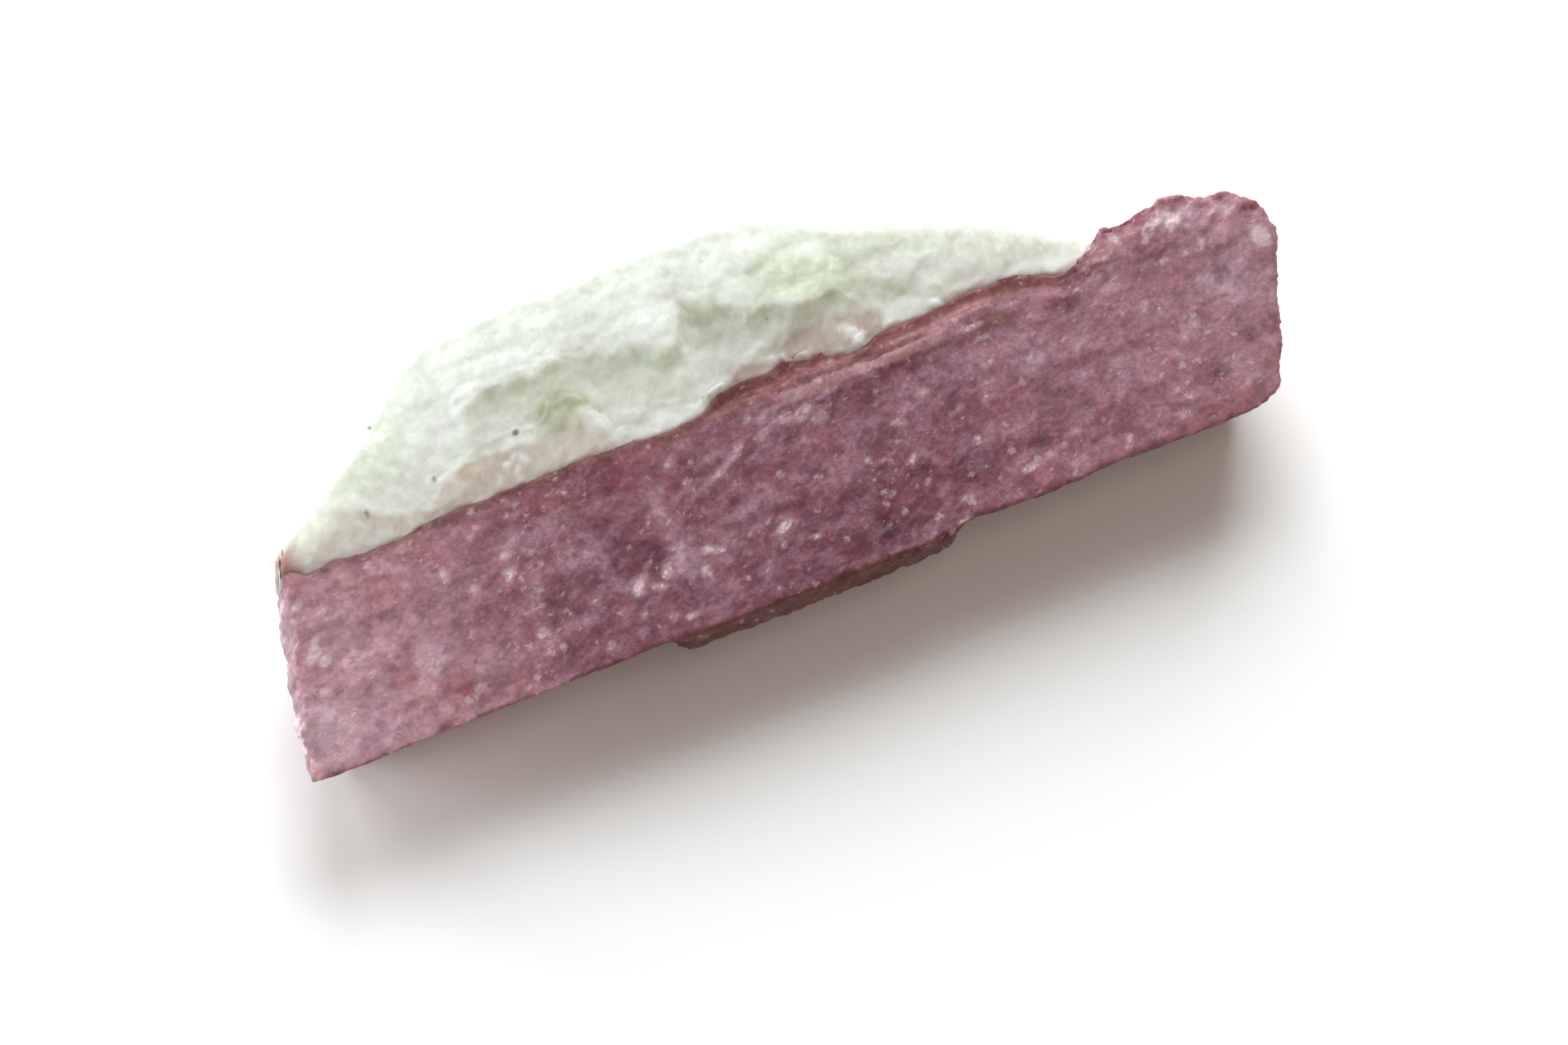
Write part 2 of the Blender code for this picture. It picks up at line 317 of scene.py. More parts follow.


# %% [markdown]
# ## The prism's surface
#
# Tourmaline grows with striae along its length. On this crystal they are faint: the wide face is
# sugary and pitted, with thin flakes off it, and only its back strip shows a rib with a groove behind.
# The rib is painted paler, a painted highlight, and the groove darker, a painted shade. The broken ends
# and the lump at the back of the right end are rougher, with facets. The lump's foot is made less steep
# here than on the solid, where the facets are larger.
#
# First the outline is drawn to its broken shape with pulls and with lines that say how far an edge
# shifts. Then the relief is raised and lowered along the normals, and the edges are chipped last, so
# that each chip cuts through the grain.

# %% Pull the prism's outline
CORNER_PULLS = (  # along, back, up, radius, and the shift
    (38, 6.7, 6.6, 1.4, (0.42, 0.22, 0)), (37, 7.6, 7, 1.2, (0.1, 0.12, 0)),
    (38.8, 5.7, 6, 1.1, (0.22, 0, 0)), (35, 7.9, 7, 1.6, (0, 0.22, 0)), (33, 7.8, 6.8, 1.2, (0, 0.2, 0)),
    (1, 5.3, 5.9, 0.9, (0.35, 0, 0)), (1.6, 6.2, 6.2, 0.9, (-0.42, 0, 0)),
    (0.3, 2.5, 5.2, 0.8, (-0.18, 0, 0)), (0.5, 3.6, 5.5, 0.7, (0.18, 0, 0)),
    (0, 0.2, 4.6, 0.8, (0.16, 0, 0)), (1.8, 7.2, 6.3, 0.9, (-0.35, 0.6, 0.35)),
    (0.7, 4.3, 5.6, 0.5, (0.12, 0, 0)), (32.9, 8, 7, 0.6, (0, 0.14, 0.08)),
    (34.4, 8, 7, 0.6, (0, 0.26, 0.10)), (35.6, 8, 7, 0.5, (0, 0.12, 0.05)),
    (37.5, 7.4, 6.6, 0.9, (0.08, 0.25, 0)), (35.9, 7.9, 6.9, 0.7, (0, 0.16, 0.05)))
LEFT_LEAN = ((0, 0.8), (3, 0.65), (4.6, 0.2), (5.5, -0.2), (6.5, -0.3))  # of the left end, by height
RIM_SHIFT = (  # of the prism's back edge, along it
    (17.9, 0), (18.7, 0.12), (19.3, 0.26), (20.3, 0.16), (20.7, 0.2), (21.1, 0.32), (21.5, 0.3),
    (21.8, 0.2), (22.4, 0.3), (22.9, 0.12), (23.6, -0.05), (24.6, 0), (26.7, 0.12), (27.8, 0.2),
    (28.8, 0.14), (30, 0))
LUMP_START = 30.8
LUMP_LEFT = 0.30  # share of the solid's rise that is left on the lump
RIB_CUT, RIB_SPARED = 0.95, 0.40  # shares of the solid's rib that are cut off, and spared halfway along


def shape_prism(piece):
    """Draws the broken ends to their outline, and flattens the rib and the lump's foot."""
    points = places(piece)
    along, back, up = points.T
    plane = FACE_HEIGHT + FACE_SLOPE * back
    # the solid's rib gives way to the finer one that is carved later
    near_rib = band(along, 14, 29.5, 1.0) * band(back, 6.2, 6.8, 0.3) * step(up, 4.8, 5.4)
    up -= (RIB_CUT - RIB_SPARED * band(along, 20.0, 26.0, 0.8)) * near_rib * (up - plane)
    # the left end leans, and the lump's foot is pressed down
    along += (1 - step(along, 0.8, 3.0)) * step(back, 2.0, 4.5) * line(up, LEFT_LEAN)
    on_lump = step(along, LUMP_START, LUMP_START + 0.8) * step(back, 4.6, 5.4) * step(up, 4.6, 5.2)
    up -= on_lump * (1 - LUMP_LEFT) * np.maximum(up - plane - 0.05, 0)
    # the edge against the matrix wanders, and so does the shelf under the front edge
    rim = step(back, 5.9, 6.8) * step(up, 4.8, 5.6) * band(along, 2.5, 16.5, 1.5)
    back += rim * (0.10 + 0.07 * ripple(points, 0.9, 3.4) + 0.05 * ripple(points, 0.35, 8.4))
    back += step(back, 6.2, 7.0) * step(up, 4.8, 5.6) * line(along, RIM_SHIFT)
    shelf = (1 - step(back, 0.15, 0.4)) * band(along, 13.5, 24.5, 0.6) * band(up, 3.6, 4.4, 0.4)
    up += shelf * (0.14 * ripple(points, 0.8, 5.2) + 0.09 * ripple(points, 0.3, 2.2))
    for *centre, radius, shift in CORNER_PULLS:
        pull(points, centre, radius, shift)
    put_back(piece, points)


shape_prism(crystal)
print("the prism now ends at", places(crystal).max(axis=0).round(2), "mm")

# %% Carve the prism
RIB = ((17.8, 6.5), (20, 6.5), (22, 6.56), (24.5, 6.5), (26.5, 6.52), (28.8, 6.75))
RIB_HALF, RIB_ENDS = 0.22, (20.5, 26.2)
GROOVE_REACH = (0.27, 0.45)  # behind the rib's middle
RIB_RISE = 0.04  # and the groove's depth


def carve_prism(piece):
    """Grain, flakes, facets, the rib and its groove. Gives back where each of them lies."""
    points, normals = places(piece), facing(piece)
    along, back, up = points.T
    face = step(normals[:, 2], 0.7, 0.93)
    ends = step(np.abs(normals[:, 0]), 0.35, 0.7)
    under = step(-normals[:, 1], 0.4, 0.8)
    lump = step(along, LUMP_START, 32) * step(back, 6.3, 6.8) * step(up, 5, 6)
    left_rough = np.maximum((1 - step(along, 1.9, 3.4)) * step(back, 3.0, 4.2), 1 - step(along, 0.5, 1.1))
    rough = np.clip(ends + lump + 0.5 * left_rough + 0.4 * under, 0, 1)
    bent = points + 0.25 * drift(waves, points, 0.8, 11)
    height = 0.035 * waves(points, 1.6, 3.1) + 0.010 * waves(points, (5, 0.3, 0.3), 1.7) * (1 - ends)
    height += (0.030 + 0.02 * rough) * layers(bent, (1.5, 0.8, 0.8), 4.2, 3)
    height += (0.030 + 0.03 * rough) * grains(bent, 0.42, 5.9)
    height += (0.035 + 0.16 * rough) * facets(points, (1.5, 1.0, 1.0), 2.3)
    height += (0.040 + 0.07 * rough + 0.06 * lump) * facets(bent, 0.5, 8.1)
    from_rib = back - line(along, RIB) - 0.10 * waves(points, 0.9, 2.6) - 0.07 * waves(points, 0.25, 6.6)
    within = face * band(along + 0.9 * waves(points, 0.5, 9.6), *RIB_ENDS, 0.8)
    rib = band(from_rib, -RIB_HALF + 0.05, RIB_HALF - 0.05, 0.1) * within
    groove = band(from_rib, *GROOVE_REACH, 0.08) * within * (1 - step(along, 25.5, 26.5))
    height += RIB_RISE * rib - RIB_RISE * groove
    height *= step(up, 0.02, 0.3)
    points += normals * height[:, None]
    put_back(piece, points)
    return {"face": face, "ends": ends, "rib": rib, "groove": groove, "under": under}


prism = carve_prism(crystal)
print({zone: int(values.sum()) for zone, values in prism.items()}, "points in the prism's zones")

# %% Chip the prism's edges
CHIPS, LEFT_CHIPS = 90, 26
LEFT_EDGE = (
    (0.4, 0.1), (2.4, 0.2), (3.5, 0.5), (4.4, 0.8), (5.2, 1.15), (6.2, 1.25), (6.7, 1.4), (7.4, 1.8))


def chip_edges(piece):
    """Small chips along the front edge and round the broken ends."""
    draw = np.random.default_rng(7)
    points = places(piece)
    for i in range(CHIPS):
        radius = draw.uniform(0.15, 0.6) if i % 6 else draw.uniform(0.6, 1.1)
        depth = min(0.12 * radius + 0.015, 0.08)
        lean = draw.uniform(0.3, 1.2)
        along = draw.uniform(13, 36) if i % 3 else draw.uniform(0.5, 36)
        away = (radius - depth) * np.array((0, -np.cos(lean), np.sin(lean)))
        scoop(points, np.array((along, 0.12, FACE_HEIGHT)) + away, radius)
    for i in range(LEFT_CHIPS):
        back, radius, lean = draw.uniform(0.2, 7.0), draw.uniform(0.2, 0.5), draw.uniform(0.3, 1.2)
        edge = np.array((line(back, LEFT_EDGE), back, FACE_HEIGHT + FACE_SLOPE * back))
        scoop(points, edge + 0.85 * radius * np.array((-np.cos(lean), 0, np.sin(lean))), radius)
    put_back(piece, points)


chip_edges(crystal)
print("carved", len(crystal.data.vertices), "points of the prism")

# %% [markdown]
# ## The matrix's surface
#
# The feldspar climbs from the prism's back edge to its crest in terraces. The edge of each terrace is
# crisp and its foot is not, because the stone split along its cleavage and the splinters stayed in the
# corners. Noise alone would put such steps anywhere. So the top is built from heights: a line for the
# contact, one for each terrace's edge and one for the crest, with the ground between them rising slowly
# at first and steeply at the end. Behind the crest the wall leans back down to the ground.

# %% Measure where the two stones meet
BIN = 0.4


def back_rim(points):
    """How far back a piece reaches along the prism, and how high it is there."""
    at = np.arange(0, 40, BIN)
    nearest = np.digitize(points[:, 0], at) - 1
    reach, height = [], []
    for i in range(len(at)):
        here = points[nearest == i]
        furthest = here[:, 1].max(initial=0)
        reach.append(furthest)
        height.append(here[here[:, 1] > furthest - 0.3][:, 2].max(initial=0))
    return at + BIN / 2, np.array(reach), np.array(height)


prism_at, prism_back, prism_up = back_rim(places(crystal)[places(crystal)[:, 2] > 5])
matrix_at, matrix_back = back_rim(places(matrix))[:2]
middle = prism_back[8:60]  # away from both tips
print("the contact runs", middle.min().round(2), "to", middle.max().round(2), "mm back")

# %% Lines of the terraces
FIRST_EDGE = (
    (2, 8.2), (3.4, 8.6), (4.6, 8.6), (5.4, 8.3), (6.2, 7.8), (6.9, 7.6), (7.6, 7.5), (8.3, 8), (9.4, 8.35),
    (10.4, 8.45), (11.4, 8.35), (12.2, 8.3), (13, 8.5), (13.6, 8.75), (14, 8.3), (14.3, 7.7), (14.6, 7.2),
    (15.2, 7), (18.2, 7.2), (18.9, 7.6), (19.3, 8.1), (20, 8.2), (20.6, 7.85), (20.8, 7.5), (21.2, 8.05),
    (21.9, 8.5), (23, 8.45), (24.2, 8.35), (24.8, 8.2), (25.3, 7.6), (26.2, 7.6), (27.2, 7.95), (28.6, 7.9),
    (29.7, 7.4), (33, 7.3))
SECOND_EDGE = (
    (2, 8.5), (5, 8.9), (7, 8.4), (8.5, 8.7), (9.6, 9.4), (10, 9.85), (10.9, 10.2), (11.9, 10.2),
    (12.9, 10.05), (13.9, 10.2), (15, 10.05), (16.6, 9.85), (17, 9.55), (17.5, 9.35), (17.9, 9.75),
    (18.2, 10.4), (18.5, 10.6), (18.9, 10.3), (19.6, 10.05), (20.6, 9.5), (21.4, 9.3), (22.3, 8.95),
    (24.1, 9.1), (25.1, 8.8), (26.3, 8.4), (33, 7.9))
CREST_UP = (
    (2.2, 6.7), (4.4, 7.2), (6.4, 7.6), (8.4, 8.15), (11.4, 8.52), (20.4, 8.55), (23.4, 8.1), (27.4, 7.6),
    (30.4, 7.1), (32.8, 6.6))
CREST_BACK = (
    (2, 8.1), (2.8, 8.75), (3.8, 9.2), (4.9, 9.5), (5.9, 10), (7, 11), (8, 11.6), (9, 12.3), (10, 12.6),
    (20, 12.65), (21.4, 12.6), (22.2, 12.3), (24.2, 11.2), (25.2, 10.9), (26.3, 10.8), (28.3, 10),
    (31.3, 8.6), (33, 8.4))
OUTLINE = (  # what the left end lacks
    (2, 0.3), (2.9, 0.6), (4, 0.4), (5, 0.4), (6.1, 0.6), (7.2, 0.1), (8.5, 0), (9.4, 0.2), (10.4, 0.1),
    (11.5, 0), (33, 0))
BACKWARD, UPWARD = 0.95, 0.3  # shares of the outline's shift
CONTACT_DROP = 0.07  # of the matrix below the prism's edge
FIRST_SLOPE = 0.62  # of the low zone behind the contact
SECOND_SHARE = 0.64  # of the rise from the first edge to the crest


def terraces(along, back):
    """Height of the matrix's top at a place, and the lines of its terraces there."""
    contact = np.interp(along, prism_at, prism_back)
    contact_up = np.interp(along, prism_at, prism_up) - CONTACT_DROP
    crest = line(along, CREST_BACK)
    first = np.clip(line(along, FIRST_EDGE), contact, np.maximum(crest - 0.5, contact))
    second = np.clip(line(along, SECOND_EDGE), first + 0.1, np.maximum(crest - 0.2, first + 0.1))
    crest = np.maximum(crest, second + 0.2)
    crest_up = line(along, CREST_UP) + UPWARD * line(along, OUTLINE)
    first_up = np.minimum(contact_up + FIRST_SLOPE * (first - contact), crest_up - 0.1)
    even = (second - first) / (crest - first)
    share = even + (SECOND_SHARE - even) * band(along, 10.2, 23.5, 0.8)
    second_up = first_up + share * (crest_up - first_up)
    low = np.clip((back - contact) / np.maximum(first - contact, 0.05), 0, 1)
    middle = np.clip((back - first) / (second - first), 0, 1)
    high = np.clip((back - second) / (crest - second), 0, 1)
    height = contact_up + (first_up - contact_up) * low
    height += (second_up - first_up) * (0.75 * middle + 0.25 * middle**4)
    height += (crest_up - second_up) * (1.25 * high - 0.25 * high**2)
    return height, {"contact": contact, "first": first, "second": second, "crest": crest}


print("the lines have", len(FIRST_EDGE + SECOND_EDGE + CREST_UP + CREST_BACK), "stops")

# %% Build the terraces
CLOSED = 0.27  # how far the front wall moves to meet the prism
WALL_LEAN = 0.45  # how far the back wall runs back for each millimetre below the crest
UNDER_FACE = 0.3  # how far the matrix stays below the wide face where it reaches under the prism's edge


def close_on_prism(points, contact):
    """Moves the front wall to the prism, and the left end out to its outline."""
    along, back, up = points.T
    reach = np.interp(along, matrix_at, matrix_back)
    back -= CLOSED * (1 - step(back, contact + 0.35, contact + 1.4))
    outward = line(along, OUTLINE) * step(up, 1.0, 5.0)
    outward *= step(back, contact + 0.5, 0.4 * contact + 0.6 * reach)
    back += BACKWARD * outward
    up += UPWARD * outward


def lower(values, limits, where):
    """Brings values down to their limits where it says so."""
    values[where] = np.minimum(values[where], limits[where])


def bend_tips(points, behind):
    """Draws both tips in along the contact. behind is how far a point lies behind it."""
    along, back, up = points.T
    left_tip, right_tip = 1 - step(along, 2.4, 4.4), step(along, 30.6, 32.6)
    along += left_tip * (0.5 * behind - 0.35)
    pull(points, (2.2, 8.3, 7.0), 0.9, (0.1, -0.1, -0.3))
    back -= 0.2 * right_tip * step(behind, 0.2, 1.3)
    up -= 0.5 * right_tip * step(up, 5.0, 6.3)


def shape_matrix(piece):
    """Closes the matrix on the prism, gives its top the terraces and leans its wall."""
    points, normals = places(piece), facing(piece)
    along, back, up = points.T
    contact = np.interp(along, prism_at, prism_back)
    close_on_prism(points, contact)
    frayed = points + 0.16 * drift(waves, points, 0.5, 21) + 0.05 * drift(layers, points, 0.3, 31, 2)
    height, lines = terraces(frayed[:, 0], frayed[:, 1])
    top = step(normals[:, 2], 0.0, 0.35) * step(back, contact - 0.2, contact)
    top *= 1 - step(back, lines["crest"] - 0.05, lines["crest"] + 0.35)
    up += top * (height - up)
    below_crest = line(along, CREST_UP) - up
    wall = line(frayed[:, 0], CREST_BACK) + WALL_LEAN * below_crest + 0.05 * waves(points, 0.4, 3.9)
    back -= np.maximum(back - wall, 0)
    lower(up, height, back < contact + 0.15)
    lower(up, FACE_HEIGHT + FACE_SLOPE * back - UNDER_FACE, back < contact - 0.02)
    bend_tips(points, back - contact)
    put_back(piece, points)
    return frayed, lines, top


frayed, lines, matrix_top = shape_matrix(matrix)
print("the terraces cover", int(matrix_top.sum()), "points of the matrix")
print("its crest is up to", places(matrix)[:, 2].max().round(2), "mm high")

# %% Carve the matrix
KNOBS = (  # along, back, radius, rise
    (21.7, 7.55, 0.42, 0.22), (21.3, 7.75, 0.2, 0.16), (23.8, 7.45, 0.26, 0.2), (23.5, 7.8, 0.2, 0.14),
    (10.75, 7.9, 0.22, 0.16), (11.15, 8.05, 0.17, 0.15), (11.42, 7.8, 0.15, 0.13), (11, 7.55, 0.17, 0.1),
    (26.8, 7.75, 0.26, 0.16), (24.8, 7.6, 0.2, 0.1), (20.9, 7.8, 0.18, 0.12), (14.8, 7.5, 0.25, 0.08),
    (19.6, 7.7, 0.35, 0.08))


def carve_matrix(piece):
    """Knobs, flaked layers, facets and grain."""
    points, normals = places(piece), facing(piece)
    back, up = points.T[1:]
    bent = points + 0.3 * drift(waves, points, 0.7, 13)
    for at, deep, radius, rise in KNOBS:
        reach = np.hypot(bent[:, 0] - at, bent[:, 1] - deep) / radius
        up += matrix_top * rise * (1 - step(reach, 0.7, 1.05))
    height = 0.03 * waves(points, (3.2, 1.3, 1.3), 2.2)
    height += 0.045 * layers(bent, (2.6, 0.9, 0.9), 3.3, 3)
    height += 0.030 * layers(bent, (1.2, 0.45, 0.45), 7.3, 2)
    height += 0.055 * facets(bent, (1.7, 0.9, 0.9), 6.4)
    height += 0.040 * facets(bent, (0.8, 0.45, 0.45), 1.2)
    height += 0.018 * grains(bent, 0.3, 4.6)
    height *= step(up, 0.02, 0.4) * step(back - lines["contact"], -0.1, 0.3)
    points += normals * height[:, None]
    put_back(piece, points)


carve_matrix(matrix)
print("carved", len(matrix.data.vertices), "points of the matrix")

# %% [markdown]
# ## Zones painted one by one
#
# No even noise puts a plum-coloured cloud just where this stone has one. So each zone is a soft
# ellipse, a mark: its place along and back on the ruler, its half length, its half width, its strength
# and, where it lies aslant, its turn in degrees. Each veil is a ribbon along a short route. Their
# borders are bent by noise so that they look grown. The result is a number for each point of the mesh,
# kept as an attribute that the material reads by name.

# %% Painting tools
def fray(points, amount, seed):
    """The same points, shaken by noise so that what is drawn through them has grown borders."""
    coarse = np.stack([waves(points, 0.9, seed + k) for k in (0, 5)] + [np.zeros(len(points))], axis=1)
    fine = np.stack([waves(points, 0.3, seed + k) for k in (11, 17)] + [np.zeros(len(points))], axis=1)
    return points + amount * coarse + 0.45 * amount * fine


def spots(points, marks, soft=0.45):
    """The marks' strength inside their soft ellipses, and 0 outside."""
    painted = np.zeros(len(points))
    for along, back, long_half, wide_half, strength, *turn in marks:
        angle = np.radians(sum(turn))
        c, s = np.cos(angle), np.sin(angle)
        a, b = points[:, 0] - along, points[:, 1] - back
        reach = np.hypot((a * c + b * s) / long_half, (b * c - a * s) / wide_half)
        painted = np.maximum(painted, strength * (1 - step(reach, 1 - soft, 1 + soft)))
    return painted


def ribbons(points, marks):
    """1 on soft ribbons: each is a half width, a strength and a route of (along, back) corners."""
    painted = np.zeros(len(points))
    flat = points[:, :2]
    for half, strength, route in marks:
        for start, end in zip(route, route[1:]):
            start, way = np.array(start), np.array(end) - np.array(start)
            share = np.clip((flat - start) @ way / (way @ way), 0, 1)
            reach = np.linalg.norm(flat - start - share[:, None] * way, axis=1) / half
            painted = np.maximum(painted, strength * (1 - step(reach, 0.3, 1.5)))
    return painted


def keep(piece, zones):
    """Stores numbers for each point of the mesh under their names."""
    for name, values in zones.items():
        attribute = piece.data.attributes.new(name, "FLOAT", "POINT")
        attribute.data.foreach_set("value", values.astype(np.float32))


# %% Clouds and tints of the prism
BODY = (  # how deep the body's colour is, along the prism
    (0, 0), (2, 0.03), (4, 0.12), (6, 0.30), (8, 0.54), (10, 0.82), (13, 0.95), (17, 0.9), (21, 0.9),
    (25, 0.88), (28, 0.76), (30, 0.66), (33, 0.56), (35, 0.48), (36.5, 0.36), (38, 0.28))
PLUM = (
    (23, 6.12, 2.4, 0.12, 1.1), (21.9, 1.3, 0.9, 0.5, 0.9), (10.2, 2.6, 0.4, 0.75, 1, -10),
    (10.9, 3.1, 0.9, 0.6, 0.5), (11.4, 2.2, 0.8, 0.6, 0.5), (9.2, 3.6, 0.5, 0.3, 0.8),
    (7.9, 3.5, 0.5, 0.2, 0.6), (13.6, 3.5, 1, 0.6, 0.9, -20), (14.2, 2.9, 0.5, 0.5, 1),
    (12.7, 0.7, 0.6, 0.4, 1), (12.9, 2.1, 0.3, 0.6, 0.7), (16, 3.8, 0.35, 0.5, 0.9),
    (16.7, 5.4, 0.9, 0.5, 0.8, 20), (14.8, 4.9, 0.3, 0.3, 0.8), (17, 2.2, 0.45, 0.35, 1),
    (19.5, 2.85, 0.35, 0.25, 0.8), (19.8, 2.2, 0.5, 0.35, 1), (18.1, 4.8, 0.5, 0.4, 0.7, 30),
    (20.1, 5.3, 0.5, 0.4, 0.7, 30), (22.2, 3, 0.6, 0.3, 0.8), (21.7, 2.4, 1.3, 0.6, 0.7, 5),
    (23.6, 2.6, 0.5, 0.4, 0.7), (21.9, 0.9, 1.4, 0.65, 1.4), (22.5, 5.7, 1.3, 0.5, 0.7),
    (24.6, 6.1, 1.2, 0.16, 0.8), (25.6, 1.9, 0.9, 0.8, 1.4), (26, 2.4, 0.5, 0.15, 0.8),
    (27.6, 1.9, 0.8, 0.4, 0.9), (31, 6, 0.5, 0.3, 0.6), (30.3, 2.7, 0.5, 0.3, 0.7),
    (31.8, 3.1, 0.2, 0.4, 0.8), (34.6, 1.8, 0.6, 0.3, 0.9), (36.2, 2.9, 0.4, 0.5, 0.7),
    (37.1, 2.8, 0.25, 0.5, 0.9), (0.9, 0.25, 0.4, 0.25, 1.3), (2.3, 2.8, 0.09, 0.08, 1.8),
    (5.2, 0.25, 0.6, 0.2, 0.9), (3.3, 0.35, 0.5, 0.2, 0.6), (18, 0.6, 1.5, 0.3, 0.6),
    (15.5, 0.8, 0.8, 0.3, 0.6), (36.3, 6.2, 0.3, 0.35, 0.9), (33.8, 6.45, 1.2, 0.12, 0.7),
    (37.4, 7.25, 0.8, 0.22, 0.6, -28), (3.4, 2.3, 0.7, 0.25, 0.6, 5), (4.6, 4.7, 0.9, 0.25, 0.5, -5),
    (2.7, 5, 0.5, 0.3, 0.5, 20))
LILAC = (
    (19.9, 5.9, 1, 0.4, 0.9), (15.1, 3.2, 0.5, 1, 1.4, 10), (1.5, 1.6, 0.9, 1.5, 1.6),
    (2.8, 2.6, 1, 1.4, 0.9), (2.3, 0.7, 1.4, 0.6, 1.3), (5.6, 2.9, 0.6, 0.6, 1.3, 20),
    (5.3, 2.2, 0.3, 0.4, 1), (6.4, 3.1, 0.5, 0.3, 0.8), (3, 4.4, 0.9, 0.7, 0.6), (2.2, 4.3, 0.6, 0.8, 0.8),
    (11.6, 4.1, 0.8, 0.4, 0.7), (10.8, 5.2, 1.2, 0.4, 0.5), (15.3, 2.1, 0.4, 0.5, 0.9),
    (16.2, 2.5, 0.6, 0.4, 0.8), (13.2, 2.3, 0.4, 0.35, 1), (18.7, 2.4, 0.5, 0.3, 0.8, 20),
    (18, 3.3, 0.9, 0.4, 0.6, 10), (21.3, 3.3, 0.8, 0.35, 0.6, 10), (26.6, 5.3, 0.7, 0.55, 0.9),
    (28.9, 5, 1, 0.75, 0.9), (24.4, 4.9, 0.8, 0.5, 0.6), (27.5, 2.6, 0.3, 0.5, 0.7, -20),
    (30.2, 3.4, 0.6, 0.3, 0.9), (31.9, 3.6, 0.7, 0.3, 0.8), (32.8, 2.5, 0.7, 0.18, 0.7),
    (35.6, 1.7, 0.6, 0.7, 0.7), (37.4, 5.9, 0.7, 0.5, 1.3), (36.4, 5, 0.9, 1.1, 1.8),
    (36.6, 6.2, 0.4, 0.3, 0.8), (37.8, 4.2, 0.35, 0.9, 0.8), (35.6, 7.2, 0.9, 0.5, 1.6, 10),
    (33, 7.6, 0.8, 0.35, 1), (33.4, 4.9, 0.3, 0.4, 0.6, 30), (34.8, 6.1, 1, 0.25, 0.7),
    (36.6, 7.2, 0.5, 0.4, 0.9), (4, 0.9, 0.7, 0.35, 0.8))
REDDISH = (
    (4.3, 2.4, 0.6, 0.35, 1), (5.4, 3.5, 0.7, 0.13, 1.5), (4.3, 5.5, 0.6, 0.25, 0.8),
    (5, 6.2, 1.3, 0.6, 0.8), (6.1, 1.5, 0.7, 0.5, 1.4), (7.6, 6.4, 1.6, 0.4, 0.7),
    (11.5, 6.1, 2.6, 0.35, 0.6), (3.4, 0.4, 0.5, 0.25, 0.7), (15.5, 6.5, 1.8, 0.35, 0.6),
    (33.6, 0.6, 2.6, 0.4, 0.8), (32.3, 7.3, 1, 0.5, 1), (38, 7.1, 1.4, 0.35, 1.6, -28),
    (37.1, 7.5, 1, 0.3, 1.5, -25), (36.8, 6.6, 0.3, 0.35, 1), (33.3, 7.3, 0.9, 0.4, 0.9),
    (22, 0.8, 1.3, 0.5, 0.7), (34, 3.2, 2.5, 1.2, 0.35), (32, 2, 3.5, 1.5, 0.3), (26.8, 1.8, 2.2, 1.2, 0.3))
print(len(PLUM), "plum,", len(LILAC), "lilac and", len(REDDISH), "reddish marks")
